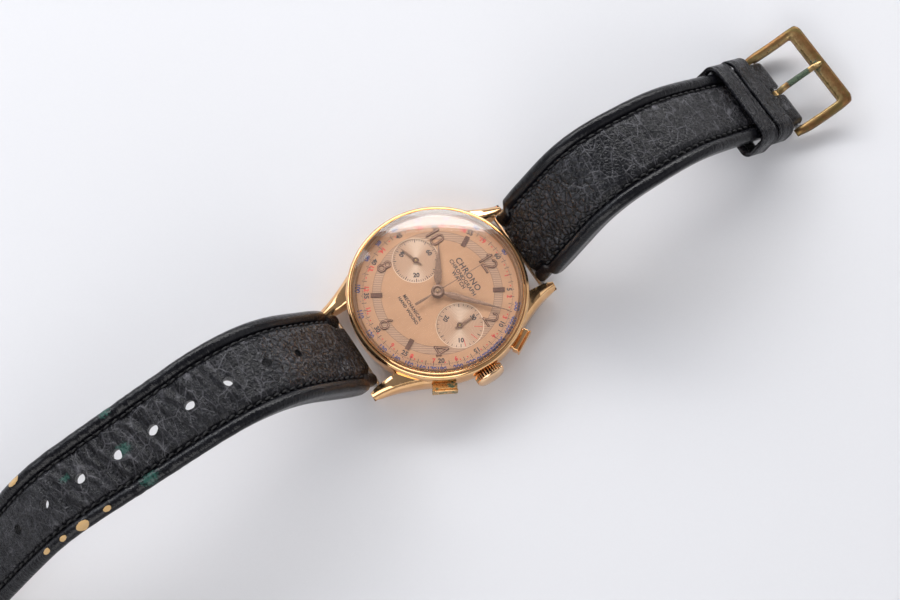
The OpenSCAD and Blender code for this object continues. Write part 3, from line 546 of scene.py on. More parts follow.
def join(parts):
    verts, faces = [], []
    for v, f in parts:
        base = len(verts)
        verts += v
        faces += [tuple(base + i for i in face) for face in f]
    return verts, faces


def metal(name, parts, mat, body, slot, replaced=(), crisp=32, attributes=None):
    """A metal piece from lofted parts, with creases kept where faces meet at more than crisp degrees."""
    verts, faces = join(parts)
    obj = build(name, verts, faces, mat, body, attributes)
    face_outward(obj)
    obj.data.set_sharp_from_angle(angle=math.radians(crisp))
    if replaced:
        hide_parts(*replaced)
    return obj


def inlaid(node, rim_mat, face_mat, inset=0.12):
    """A raised marking with a dark rim: the top is cut again a little inside its edge and coloured apart."""
    source = nodes[node]
    bm = bmesh.new()
    bm.from_mesh(source.data)
    bm.transform(source.matrix_world)
    bmesh.ops.remove_doubles(bm, verts=bm.verts[:], dist=0.001 * MM)
    top = max(v.co.z for v in bm.verts)
    faces = [f for f in bm.faces if f.normal.z > 0.9 and min(v.co.z for v in f.verts) > top - 0.01 * MM]
    bmesh.ops.inset_region(bm, faces=faces, thickness=inset * MM, depth=0.0, use_even_offset=True, use_boundary=True)
    for f in faces:
        f.material_index = 1
    mesh = bpy.data.meshes.new(node + "_inlaid")
    bm.to_mesh(mesh)
    bm.free()
    mesh.materials.append(rim_mat)
    mesh.materials.append(face_mat)
    obj = bpy.data.objects.new(node + "_inlaid", mesh)
    bpy.context.collection.objects.link(obj)
    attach(obj, "case")
    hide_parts(node)


def bezier(a, b, c, t):
    return tuple((1 - t) ** 2 * p + 2 * t * (1 - t) * q + t * t * r for p, q, r in zip(a, b, c))


LUG_IN, LUG_TIP, CASE_TOP = 9.0, 22.4, 7.25


def lug_rings(sx, sy):
    """One lug from inside the case to its tip: flat inner side, crowned top, a bevel along the outside."""
    rings = []
    for i in range(29):
        f = i / 28
        t = 1 - f
        end = smooth((f - 0.86) / 0.14)
        ox, y = bezier((LUG_IN + 2.15, LUG_TIP - 0.1), (LUG_IN + 2.75, 16.5), (16.6, 8.4), t)
        top = bezier((3.1, 0), (6.2, 0), (CASE_TOP - 0.1, 0), t)[0] if f > 0 else CASE_TOP - 0.1
        low = 0.95 + 0.75 * smooth((f - 0.85) / 0.15)
        width = ox - LUG_IN
        round_in = 0.35 * end
        bevel = 0.75
        ring = [(LUG_IN + round_in, low + 0.25), (LUG_IN + 0.35 + round_in, low), (ox - 0.55, low), (ox - 0.15, low + 0.25), (ox, low + 0.7),
                (ox, top - 1.15), (ox - 0.10, top - 0.92), (ox - bevel, top - 0.22), (ox - bevel - 0.12, top - 0.13),
                (LUG_IN + width * 0.42, top), (LUG_IN + 0.32 + round_in, top - 0.06), (LUG_IN + 0.08 + round_in, top - 0.2), (LUG_IN + round_in, top - 0.45)]
        ring = [(min(x, ox), max(z, low)) for x, z in ring]
        rings.append([(sx * x, sy * y, z) for x, z in ring])
    return rings


def make_case(mats):
    outer = [(16.2, 0.82), (17.0, 0.85), (17.8, 1.6), (18.35, 2.7), (18.56, 3.7), (18.6, 4.6), (18.58, 6.1), (18.5, 6.75), (18.4, 7.05), (18.2, 7.25), (17.0, 7.27), (16.2, 7.2)]
    parts = [loft(turned(outer, 160), loop=True)]
    parts += [loft(lug_rings(sx, sy)) for sx in (-1, 1) for sy in (-1, 1)]
    metal("case_shell", parts, mats["gold"], "case", "rose_gold", ("case_middle",), 26)
    rim = [(17.5, 7.3), (18.5, 7.28), (18.72, 7.42), (18.8, 7.75), (18.8, 8.1), (18.7, 8.5), (18.46, 8.85), (18.2, 9.0), (18.08, 9.0), (18.04, 8.93),
           (17.98, 8.93), (17.94, 9.02), (17.84, 9.2), (17.7, 9.3), (17.58, 9.29), (17.5, 9.15)]
    metal("bezel_ring", [loft(turned(rim, 192), loop=True)], mats["gold"], "case", "rose_gold", ("bezel",), 40)


def make_crown(mats):
    """A crown with deep flutes towards the case and a smooth, domed face, turned about X."""
    flutes, z0 = 30, 4.6
    profile = [(0.3, 18.66), (2.2, 18.66), (2.55, 18.72), (2.95, 18.76), (3.1, 18.84), (3.1, 19.2), (3.1, 19.6), (3.1, 20.0), (3.08, 20.1), (3.02, 20.2),
               (2.9, 20.42), (2.55, 20.66), (1.7, 20.8), (0.8, 20.85), (0.02, 20.86), (0.02, 20.0), (0.3, 20.0)]

    def fluted(r, x, a):
        if r < 2.94 or x > 20.15:
            return r
        return r - 0.46 * (0.5 + 0.5 * math.cos(flutes * a)) ** 0.9 * (1 - smooth((x - 19.98) / 0.14))

    rings = [[(x, -side, z0 + up) for up, side, x in ring] for ring in turned(profile, flutes * 10, fluted)]
    # place carries each point's groove depth, which the fluted gold uses for the painted shade in the grooves
    marks = [((r - fluted(r, x, 2 * math.pi * i / (flutes * 10))) / 0.46, 0.0, 0.0) for i in range(flutes * 10) for r, x in profile]
    metal("crown_fluted", [loft(rings, loop=True)], mats["gold_fluted"], "crown", "rose_gold", ("crown",), 55, {"place": marks})


def make_pusher(name, node, sign, mat, body):
    """A flat push-button: a waisted shank and a lipped, softly rounded cap."""
    a = math.radians(28.5 * sign)
    rings = []
    for r, half_w, half_h in ((18.35, 2.3, 0.8), (18.8, 2.3, 0.8), (18.86, 2.56, 1.10), (19.75, 2.56, 1.14), (19.83, 2.48, 1.06), (19.93, 2.48, 1.06),
                              (20.12, 2.62, 1.18), (20.32, 2.64, 1.2), (20.43, 2.55, 1.1), (20.46, 2.3, 0.9)):
        ring = []
        for qx, qz, a0 in ((1, 1, 0), (-1, 1, 90), (-1, -1, 180), (1, -1, 270)):
            for i in range(6):
                b = math.radians(a0 + 18 * i)
                y, z = qx * (half_w - 0.28) + 0.28 * math.cos(b), qz * (half_h - 0.28) + 0.28 * math.sin(b)
                ring.append((r * math.cos(a) - y * math.sin(a), r * math.sin(a) + y * math.cos(a), 4.6 + z))
        rings.append(ring)
    stem = []
    for r in (16.35, 18.4):
        stem.append([(r * math.cos(a) - 0.58 * math.cos(b) * math.sin(a), r * math.sin(a) + 0.58 * math.cos(b) * math.cos(a), 4.6 + 0.58 * math.sin(b))
                     for b in (math.radians(15 * i) for i in range(24))])
    metal(name, [loft(rings), loft(stem)], mat, body, "rose_gold", (node,), 35)


def hand(turn, centre, z, stations, hub, thick=0.1, crown=0.1):
    """A watch hand: stations are (distance, half width); a ridge runs along the top. hub is a list of (r, z) for a turned boss."""
    a = math.radians(turn)
    d, n = (math.sin(a), math.cos(a)), (math.cos(a), -math.sin(a))
    rings = []
    for r, w in stations:
        ring = []
        for k, up in ((-w, 0), (-w, thick), (0, thick + crown * min(1, w / 0.3)), (w, thick), (w, 0)):
            ring.append((centre[0] + d[0] * r + n[0] * k, centre[1] + d[1] * r + n[1] * k, z + up))
        rings.append(ring)
    boss = [[(centre[0] + x, centre[1] + y, q) for x, y, q in ring] for ring in turned(hub, 48)]
    return [loft(rings), loft(boss, loop=True)]


def make_hands(mats):
    o, left, right = (0, 0), (-REGISTER_X, 0), (REGISTER_X, 0)
    gilt = mats["gilt"]
    leaf = lambda length, wide: [(0.3, 0.5), (1.1, 0.42), (1.5, 0.30), (1.9, 0.36), (2.6, wide * 0.86), (3.3, wide), (4.4, wide * 0.93), (length * 0.62, wide * 0.52),
                                 (length * 0.8, wide * 0.24), (length * 0.93, 0.08), (length, 0.03)]
    metal("hour_hand_leaf", hand(304, o, 7.98, leaf(11.3, 0.80), [(0.5, 7.97), (1.35, 7.97), (1.35, 8.14), (1.2, 8.2), (0.5, 8.2)]), gilt, "hour", "hand_gilt", ("hour_hand",), 12)
    metal("minute_hand_leaf", hand(48, o, 8.28, leaf(15.2, 0.70), [(0.4, 8.27), (1.05, 8.27), (1.05, 8.42), (0.92, 8.48), (0.4, 8.48)]), gilt, "minute", "hand_gilt", ("minute_hand",), 12)
    sweep = [(-5.4, 0.20), (-5.3, 0.27), (-3.4, 0.24), (-1.3, 0.14), (-0.8, 0.30), (0.8, 0.30), (1.3, 0.13), (2.4, 0.085), (13.0, 0.06), (15.0, 0.035)]
    ring = [(0.62, 8.66), (1.3, 8.66), (1.32, 8.82), (1.22, 8.96), (1.02, 9.02), (0.86, 8.98), (0.8, 8.86), (0.62, 8.8)]
    metal("sweep_hand", hand(0, o, 8.66, sweep, ring, 0.08, 0.04), mats["gilt"], "chrono_seconds", "hand_gilt", ("chrono_seconds_hand",), 12)
    metal("sweep_hub", [loft(turned([(0.02, 8.7), (0.74, 8.7), (0.74, 8.78), (0.42, 8.8), (0.36, 9.04), (0.02, 9.05)], 40), loop=True)], mats["gilt_light"], "chrono_seconds", "hand_gilt", (), 30)
    small = lambda length, tail: [(-tail, 0.16), (-tail + 0.2, 0.20), (-0.5, 0.12), (-0.3, 0.3), (0.3, 0.3), (0.6, 0.12), (1.3, 0.26), (length * 0.6, 0.22), (length, 0.03)]
    for label, turn, centre, length, tail, body, node in (("seconds", 252, left, 4.1, 1.5, "seconds", "small_seconds_hand"), ("counter", 0, right, 3.5, 1.2, "minute_counter", "minute_counter_hand")):
        boss = [(0.16, 7.73), (0.62, 7.73), (0.63, 7.86), (0.52, 7.95), (0.34, 7.95), (0.27, 7.85), (0.16, 7.82)]
        metal("small_hand_" + label, hand(turn, centre, 7.73, small(length, tail), boss, 0.06, 0.04), gilt, body, "hand_gilt", (node,), 12)


BUCKLE_PITCH, BUCKLE_LEN, BUCKLE_HALF, PIN_R = 12.0, 13.2, 10.7, 0.75


def buckle_frame_at(x, y, z):
    a = math.radians(BUCKLE_PITCH)
    return (x, PIN_Y + y * math.cos(a) - z * math.sin(a), PIN_Z + y * math.sin(a) + z * math.cos(a))


def make_buckle(mats):
    """A dished rectangular frame: narrow arms sloping outwards, a broad front bar, round outer corners and eyes on the pin."""
    corner = 1.5
    path = []
    for i in range(23):
        path.append((-1, i / 22))
    for i in range(1, 12):
        path.append((-1, 1 + i / 12))
    for i in range(29):
        path.append((-1 + 2 * i / 28, 2))
    for i in range(11, 0, -1):
        path.append((1, 1 + i / 12))
    for i in range(22, -1, -1):
        path.append((1, i / 22))
    inner_half, inner_len = BUCKLE_HALF - 2.0, BUCKLE_LEN - 3.0
    rings, marks = [], []
    for side, f in path:
        if f < 1:
            y = -1.2 + (inner_len - 0.5 + 1.2) * f
            base, out, wide, front = (side * inner_half, y), (side, 0), 2.0 - 0.35 * (1 - smooth(f * 3)), 0.0
        elif f < 2:
            a = math.radians(90 * (f - 1))
            c = (side * (inner_half - 0.5), inner_len - 0.5)
            base = (c[0] + side * 0.5 * math.cos(a), c[1] + 0.5 * math.sin(a))
            out = (side * math.cos(a), math.sin(a))
            reach = min(2.0 / max(0.01, math.cos(a)), 3.0 / max(0.01, math.sin(a)))
            full = math.hypot(2.0, 3.0) - 0.32 * corner
            wide, front = min(reach, full), smooth(f - 1)
        else:
            base, out, wide, front = (side * (inner_half - 0.5), inner_len), (0, 1), 3.0, 1.0
        high = 1.12 - 0.25 * (1 - front) * smooth(min(f, 1) * 2)
        profile = [(0.0, -0.85), (0.0, 0.30 * high), (0.14, 0.62 * high), (0.45, 0.90 * high), (wide * 0.5, 0.98 * high), (wide * (0.72 + 0.1 * front), 0.92 * high),
                   (wide * 0.93, 0.62 * high), (wide, 0.05), (wide * 0.99, -0.65), (wide * 0.85, -1.0), (0.3, -1.0)]
        ring = []
        for o, z in profile:
            x, y = base[0] + out[0] * o, base[1] + out[1] * o
            bow = -0.55 * math.sin(math.pi * min(1, max(0, y / BUCKLE_LEN))) + 0.25 * (y / BUCKLE_LEN) ** 2
            fade = 1.0
            if y < 0.6:
                fade = math.sqrt(max(0.05, 1 - ((0.6 - y) / 1.95) ** 2))
            ring.append(buckle_frame_at(x, y, z * fade + bow))
            near_tip = math.exp(-((x / 2.6) ** 2 + ((y - 11.2) / 1.5) ** 2))
            inner_edge = math.exp(-((o - 0.25) / 0.22) ** 2) * (1 if z > 0 else 0)
            under = 0.42 if (f < 1 and side < 0) else 0.16
            marks.append((min(1, inner_edge * 1.2), min(1, near_tip * 0.55 + under * (1 if o < 0.5 else 0.4)), 0.0))
        rings.append(ring)
    obj = metal("buckle_dished", [loft(rings)], mats["patina"], "buckle", "aged_brass", ("buckle_frame",), 34, {"place": marks})
    soft = obj.modifiers.new("edge", "BEVEL")
    soft.width, soft.segments, soft.limit_method, soft.angle_limit = 0.07 * MM, 2, "ANGLE", math.radians(30)

    rings, marks = [], []
    for i in range(33):
        f = i / 32
        y = 0.9 + 11.35 * f
        half_w = 0.72 - 0.10 * f - 0.22 * smooth((f - 0.93) / 0.07)
        lift = 0.62 + 0.62 * smooth(f * 6) - 0.35 * smooth((f - 0.80) / 0.2) + 0.2 * math.sin(math.pi * f)
        half_t = 0.52 - 0.12 * f - 0.15 * smooth((f - 0.92) / 0.08)
        ring = []
        for k in range(16):
            a = 2 * math.pi * k / 16
            cx, cz = math.cos(a), math.sin(a)
            x, z = half_w * math.copysign(abs(cx) ** 0.6, cx), half_t * math.copysign(abs(cz) ** 0.6, cz)
            ring.append(buckle_frame_at(x, y, lift + z))
            marks.append((0.75 * (smooth((f - 0.66) / 0.1) + (1 - smooth((f - 0.12) / 0.1))), 0.95 * smooth((f - 0.18) / 0.12) * (1 - smooth((f - 0.62) / 0.14)) + 0.1, 0))
        rings.append(ring)
    eye = []
    for i in range(28):
        a = 2 * math.pi * i / 28
        r_out = 1.4 + 0.05 * math.sin(5 * a)
        eye.append([buckle_frame_at(x, r * math.cos(a), r * math.sin(a)) for x, r in ((-0.62, PIN_R + 0.06), (-0.7, r_out - 0.12), (-0.6, r_out), (0.6, r_out), (0.7, r_out - 0.12), (0.62, PIN_R + 0.06))])
        marks += [(0.5, 0.35, 0)] * 6
    metal("tongue_forged", [loft(rings), loft(eye, loop=True)], mats["patina"], "tongue", "aged_brass", ("buckle_tongue",), 45, {"place": marks})


# ---------------------------------------------------------------- straps
LUG_NECK = 17.4
STEP = 0.4


def smooth(u):
    c = min(1.0, max(0.0, u))
    return c * c * (3 - 2 * c)


class StrapLine:
    """The middle line of a strap, the same curve as the CAD's: it leaves its bar at lead degrees and bends."""

    def __init__(self, length, lead, bends, side):
        self.length, self.lead, self.bends, self.side = length, lead, bends, side
        self.points = [(BAR_Y, BAR_Z)]
        n = int(length / STEP)
        for i in range(n + 1):
            a = math.radians(self.angle((i + 0.5) * STEP))
            y, z = self.points[-1]
            self.points.append((y + STEP * math.cos(a), z + STEP * math.sin(a)))

    def angle(self, s):
        return self.lead + sum(b[2] * smooth((s - b[0]) / b[1]) for b in self.bends)

    def at(self, s):
        i = min(len(self.points) - 2, max(0, int(s / STEP)))
        f = s / STEP - i
        (y0, z0), (y1, z1) = self.points[i], self.points[i + 1]
        return y0 + (y1 - y0) * f, z0 + (z1 - z0) * f

    def place(self, x, s, up):
        """A point x across, s along and up out of the strap."""
        y, z = self.at(s)
        a = math.radians(self.angle(s))
        return Vector((x, self.side * (y - math.sin(a) * up), z + math.cos(a) * up))

    def turn(self, s):
        """Axes at s: along the strap and out of its top."""
        a = math.radians(self.angle(s))
        return Vector((0, self.side * math.cos(a), math.sin(a))), Vector((0, -self.side * math.sin(a), math.cos(a)))


SHORT = StrapLine(82, 54, [(16, 20, -58), (36, 20, -31.3)], 1)
LONG = StrapLine(119.5, 53, [(18, 32.5, -62.6), (70, 19, -33.8), (100, 14, 22.6)], -1)
WIDE_FROM = 3.9
ROLL = 1.35
PANEL_FROM = 3.55
SHOULDER = 1.6


def thickness(s, end_t):
    return 2.9 + 1.5 * smooth((s - 1) / 9) - (4.4 - end_t) * smooth((s - 12) / 40)


class Strap:
    def __init__(self, line, end_t, end_w, reach, body, panel_end):
        self.line, self.end_t, self.end_w, self.reach = line, end_t, end_w, reach
        self.body, self.panel_end = body, panel_end

    def half_width(self, s):
        y = self.line.at(s)[0]
        full = 9.9 + (self.end_w / 2 - 9.9) * min(1, max(0, (y - BAR_Y - 3) / (self.reach - BAR_Y - 3)))
        return LUG_NECK / 2 + (full - LUG_NECK / 2) * smooth((s - WIDE_FROM) / SHOULDER)

    def section(self, s, n_low=16):
        """Outline (x, up, across, is_top) at s: flat lining, a rolled edge each side, a stitched groove, a padded panel."""
        h, t = self.half_width(s), thickness(s, self.end_t)
        roll_up = t / 2 - 1.15
        low = -t / 2
        pts = [(-(h - 0.9) + 2 * (h - 0.9) * i / n_low, low, 0.0) for i in range(n_low)]
        side = []
        for i in range(5):
            a = math.radians(-90 + 90 * i / 4)
            side.append((h - 0.9 + 0.9 * math.cos(a) - 0.15, low + 0.9 + 0.9 * math.sin(a), 0.0))
        side.append((h - 0.04, (low + 0.9 + roll_up) / 2, 1.0))
        inner = []
        for i in range(15):
            a = math.radians(172 * i / 14 - 6)
            inner.append((h - ROLL + ROLL * math.cos(a), roll_up + 1.2 * math.sin(a) * (1 if a > 0 else 0.6), 1.0))
        floor_up = t / 2 - 0.98
        right = side + inner + [(h - 2 * ROLL - 0.05, floor_up, 1.0), (h - 3.0, floor_up - 0.05, 1.0), (h - 3.2, floor_up + 0.12, 1.0)]
        top = []
        half = h - PANEL_FROM
        for i in range(51):
            x = half * (1 - 2 * i / 50)
            q = abs(x) / half
            top.append((x, t / 2 - 0.10 - 0.30 * smooth((q - 0.9) / 0.1) + 0.10 * (1 - q * q), 1.0))
        left = [(-x, up, k) for x, up, k in reversed(right)]
        return pts + right + top + left[:-1]


def fold(strap, s, x):
    """Cross folds of the long strap, in millimetres, where it has been bent through its buckle."""
    if strap.line.side > 0:
        return 0.10 * noise.noise(Vector((x * 0.10, s * 0.55, 4.0))) * smooth((s - 18) / 8) * (1 - smooth((s - 40) / 10))
    amount = smooth((s - 33) / 12) * (1 - 0.8 * smooth((s - 78) / 8))
    slant = s + 0.28 * x + 0.8 * noise.noise(Vector((x * 0.2, s * 0.12, 2.0)))
    n = noise.noise(Vector((x * 0.05, slant * 0.40, 9.0)))
    m = noise.noise(Vector((x * 0.12, slant * 0.85, 5.0)))
    return amount * (0.85 * (0.35 - abs(n) * 1.7) + 0.26 * m)


def crease_height(strap, s, x):
    """Unevenness of the top in millimetres: slow lumps, folds, and short cracks near the watch."""
    lump = noise.fractal(Vector((x * 0.11, s * 0.07, 11.0 + strap.line.side)), 1.0, 2.0, 3) * 0.16
    ripple = noise.noise(Vector((x * 0.7, s * 0.8, 3.0 - strap.line.side))) * 0.045
    inner = 1 - smooth((abs(x) - strap.half_width(s) + PANEL_FROM) / 0.6)
    return lump * 0.6 + ripple + fold(strap, s, x) * (0.25 + 0.75 * inner)


def zone_at(strap, s, x):
    """(crackle, scuffed lines, cross wrinkles) at a place on the strap, each from 0 to 1; these masks carry painted
    sheen on the crackle's cells, painted shade in its cracks, a partly painted sheen on the lines and a painted
    highlight on the wrinkle ridges.
    """
    h = strap.half_width(s)
    panel = 1 - smooth((abs(x) - h + PANEL_FROM) / 0.5)
    if strap.line.side > 0:
        crackle = panel * (1 - smooth((s - 19) / 12))
        scuff_and_sheen = panel * smooth((s - 12) / 14) * (1 - 0.4 * smooth((s - 56) / 12))
        return (crackle, scuff_and_sheen, 0.25 * panel + 0.22 * (1 - panel))
    crackle = panel * (0.8 * (1 - smooth((s - 24) / 14)) + 0.3 * smooth((s - 72) / 10))
    scuff_and_sheen = panel * (1 - 0.5 * smooth((s - 70) / 12))
    return (crackle, scuff_and_sheen, 0.3 * (1 - panel) + panel * (0.2 + 0.75 * smooth((s - 32) / 12)))


# Worn places on the long strap: (distance along, place across from -1 to 1, radius)
BARE = [(83.2, -0.94, 1.4), (70.2, 0.90, 0.8), (75.7, 0.90, 1.3), (80.1, 0.88, 0.8), (84.6, 0.86, 0.85)]
STAIN = [(62.0, 0.0, 3.6), (60.5, 0.85, 3.6), (61.4, -0.92, 2.6), (74.0, -0.2, 2.0)]


def wear_at(strap, s, x, top):
    """(brown wear, tan bare patches, green stain) at a place on the strap, each from 0 to 1."""
    if top < 0.5:
        return (0.15, 0.0, 0.0)
    h = strap.half_width(s)
    edge = smooth((abs(x) - h + 2.2) / 2.0)
    near = 1 - smooth((s - 2) / (13 if strap.line.side < 0 else 9))
    brown = max(near * (0.5 + 0.35 * smooth((abs(x) - 3) / 4)), edge * 0.12 + 0.7 * edge * near) * (0.35 + 0.65 * smooth((s - 4) / 3))
    tan = green = 0.0
    if strap.line.side < 0:
        for at, across, size in BARE:
            q = math.hypot((s - at) / 1.6, x - across * h) / size
            tan = max(tan, 1 - smooth((q - 0.35) / 0.65))
        for at, across, size in STAIN:
            q = math.hypot((s - at) / 1.5, (x - across * h)) / size
            green = max(green, 1 - smooth(q))
    return (brown, tan, green)


def fold_reach(strap, x):
    """How far past the pin the short strap's folded end goes: cut back for the tongue and at one corner."""
    back = 1.3 * smooth((x - 3.5) / 5) + 0.35 * smooth((-x - 5) / 3) + 0.12 * math.sin(x * 0.9)
    notch = 5.0 * (1 - smooth((abs(x) - 0.9) / 0.4))
    return 2.0 - max(back, notch)


def plain_section(strap, s, count_low, x, up, top):
    """The folded end: a plain rounded slab that closes round the pin."""
    h, t = strap.half_width(s), thickness(s, strap.end_t)
    u = max(0.0, (s - strap.line.length + 0.4) / 2.4)
    half = math.sqrt(max(0.02, 1 - min(1, u) ** 2)) * 2.0
    grow = smooth((s - strap.line.length + 6) / 4)
    edge = math.sqrt(max(0.04, 1 - max(0.0, (abs(x) - h + 0.9) / 0.9) ** 2))
    flat = (half * grow + (t / 2) * (1 - grow)) * edge
    return flat if top else -flat


def zipped(xs, first):
    """Triangles that close an outline strip by strip across its width, so that the fold's notch stays open."""
    n = len(xs)
    start, stop = min(range(n), key=lambda i: xs[i]), max(range(n), key=lambda i: xs[i])
    lower = [(start + i) % n for i in range((stop - start) % n + 1)]
    upper = [(start - i) % n for i in range((start - stop) % n + 1)]
    i = j = 0
    faces = []
    while i < len(lower) - 1 or j < len(upper) - 1:
        if j == len(upper) - 1 or (i < len(lower) - 1 and xs[lower[i + 1]] <= xs[upper[j + 1]]):
            tri = (lower[i], lower[i + 1], upper[j])
            i += 1
        else:
            tri = (lower[i], upper[j + 1], upper[j])
            j += 1
        if len(set(tri)) == 3:
            faces.append(tuple(first + k for k in tri))
    return faces


def make_strap(strap, name, cad_nodes, mat, s_end, tip=None, holes=()):
    """The leather shell, ring by ring along the line. tip(s) narrows the end."""
    line = strap.line
    n = int(s_end / 0.3)
    verts, place, wear, zone = [], [], [], []
    folded = line.side > 0
    for i in range(n + 1):
        s0 = 0.9 + (s_end - 0.9) * i / n
        section = strap.section(s0)
        squeeze = tip(s0) if tip else 1.0
        for x, up, top in section:
            x *= squeeze
            s = s0
            if folded and s0 > 77:
                s = 77 + (s0 - 77) * (line.length + fold_reach(strap, x) - 77) / (s_end - 77)
            lift = crease_height(strap, s, x) * smooth((s - 2) / 3) * smooth((s_end - s) / 3) if top else 0.0
            if folded:
                k = smooth((s - 72) / 4)
                up = up * (1 - k) + plain_section(strap, s, 0, x, up, top) * k
            verts.append(tuple(line.place(x, min(s, line.length), up + lift) + line.turn(line.length)[0] * max(0.0, s - line.length)))
            place.append((x, s, 40.0 * (1 - top)))
            wear.append(wear_at(strap, s, x, top))
            zone.append(zone_at(strap, s, x) if top else (0.0, 0.0, 0.3))
    count = len(section)
    faces = []
    for i in range(n):
        for k in range(count):
            a, b = i * count + k, i * count + (k + 1) % count
            quad = (a, b, b + count, a + count)
            faces.append(quad if line.side < 0 else quad[::-1])
    faces.append(tuple(range(count))[:: 1 if line.side > 0 else -1])
    if folded:
        faces += zipped([p[0] for p in section], n * count)
    else:
        faces.append(tuple(range(n * count, (n + 1) * count)))
    obj = build(name, verts, faces, mat, strap.body, {"place": place, "wear": wear, "zone": zone})
    if folded:
        face_outward(obj)
    if holes:
        punch(obj, line, holes)
    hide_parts(*cad_nodes)
    return obj


def make_lining(strap, name, node, mat, s0, s1, holes=()):
    """The brown leather under a strap, a thin sheet a little narrower than the top."""
    line = strap.line
    rings, place = [], []
    n = int((s1 - s0) / 0.8)
    for i in range(n + 1):
        s = s0 + (s1 - s0) * i / n
        h, t = strap.half_width(s) - 0.75, thickness(s, strap.end_t)
        ring = [(-h + 2 * h * k / 24, -t / 2 - 0.10) for k in range(25)] + [(h - 2 * h * k / 24, -t / 2 + 0.12) for k in range(25)]
        rings.append([tuple(line.place(x, s, up)) for x, up in ring])
        place += [(x, s, 0.0) for x, up in ring]
    verts, faces = loft(rings)
    obj = build(name, verts, faces, mat, strap.body, {"place": place})
    face_outward(obj)
    if holes:
        punch(obj, line, holes)
    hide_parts(node)


def punch(obj, line, holes):
    """Cuts the buckle holes, slightly drawn out along the strap."""
    bm = bmesh.new()
    for k, s in enumerate(holes):
        along, out = line.turn(s)
        centre = line.place(0, s, 0)
        rings = []
        for up in (-6, 6):
            ring = []
            for i in range(20):
                a = math.radians(18 * i)
                r = 1.12 - 0.11 * up
                q = centre + Vector((math.cos(a) * r, 0, 0)) + along * math.sin(a) * r * (1.06 + 0.1 * math.sin(k * 2.1)) + out * up
                ring.append(bm.verts.new(q * MM))
            rings.append(ring)
        for i in range(20):
            bm.faces.new((rings[0][i], rings[0][(i + 1) % 20], rings[1][(i + 1) % 20], rings[1][i]))
        bm.faces.new(rings[0][::-1])
        bm.faces.new(rings[1])
    bmesh.ops.recalc_face_normals(bm, faces=bm.faces[:])
    cutter_mesh = bpy.data.meshes.new("punch")
    bm.to_mesh(cutter_mesh)
    bm.free()
    kept = {a.name: [tuple(v.vector) for v in a.data] for a in obj.data.attributes if a.name in ("place", "wear", "zone")}
    tree = kdtree.KDTree(len(obj.data.vertices))
    for i, v in enumerate(obj.data.vertices):
        tree.insert(v.co, i)
    tree.balance()
    cutter = bpy.data.objects.new("punch", cutter_mesh)
    bpy.context.collection.objects.link(cutter)
    cut = obj.modifiers.new("holes", "BOOLEAN")
    cut.operation = "DIFFERENCE"
    cut.solver = "EXACT"
    cut.object = cutter
    bpy.context.view_layer.update()
    done = bpy.data.meshes.new_from_object(obj.evaluated_get(bpy.context.evaluated_depsgraph_get()))
    obj.modifiers.clear()
    near = [tree.find(v.co)[1] for v in done.vertices]
    for key, values in kept.items():
        old = done.attributes.get(key)
        if old:
            done.attributes.remove(old)
        a = done.attributes.new(key, "FLOAT_VECTOR", "POINT")
        a.data.foreach_set("vector", [c for i in near for c in values[i]])
    obj.data = done
    bpy.data.objects.remove(cutter)


def stitches(strap, name, node, mat, s0, s1, inset=3.08, pitch=1.9):
    """Two rows of sewn stitches, each a short bent bead sunk in the groove."""
    verts, faces = [], []
    line = strap.line
    n = int((s1 - s0) / pitch)
    for i in range(n):
        for side in (-1, 1):
            s = s0 + i * pitch
            h = strap.half_width(s)
            t = thickness(s, strap.end_t)
            base = len(verts)
            for j in range(7):
                f = j / 6
                q = s + (f - 0.5) * pitch * 0.74
                x = side * (h - inset) + 0.16 * (f - 0.5)
                r = 0.23 * math.sqrt(max(0.04, 1 - (2 * f - 1) ** 4))
                along, out = line.turn(q)
                c = line.place(x, q, t / 2 - 0.80 + 0.2 * math.sin(math.pi * f) + crease_height(strap, q, x))
                for k in range(8):
                    a = math.pi * k / 4
                    verts.append(tuple(c + Vector((math.cos(a) * r, 0, 0)) + out * math.sin(a) * r))
            for j in range(6):
                for k in range(8):
                    a, b = base + j * 8 + k, base + j * 8 + (k + 1) % 8
                    faces.append((a, b, b + 8, a + 8))
            faces.append(tuple(base + k for k in range(7, -1, -1)))
            faces.append(tuple(base + 48 + k for k in range(8)))
    obj = build(name, verts, faces, mat, strap.body)
    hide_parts(node)


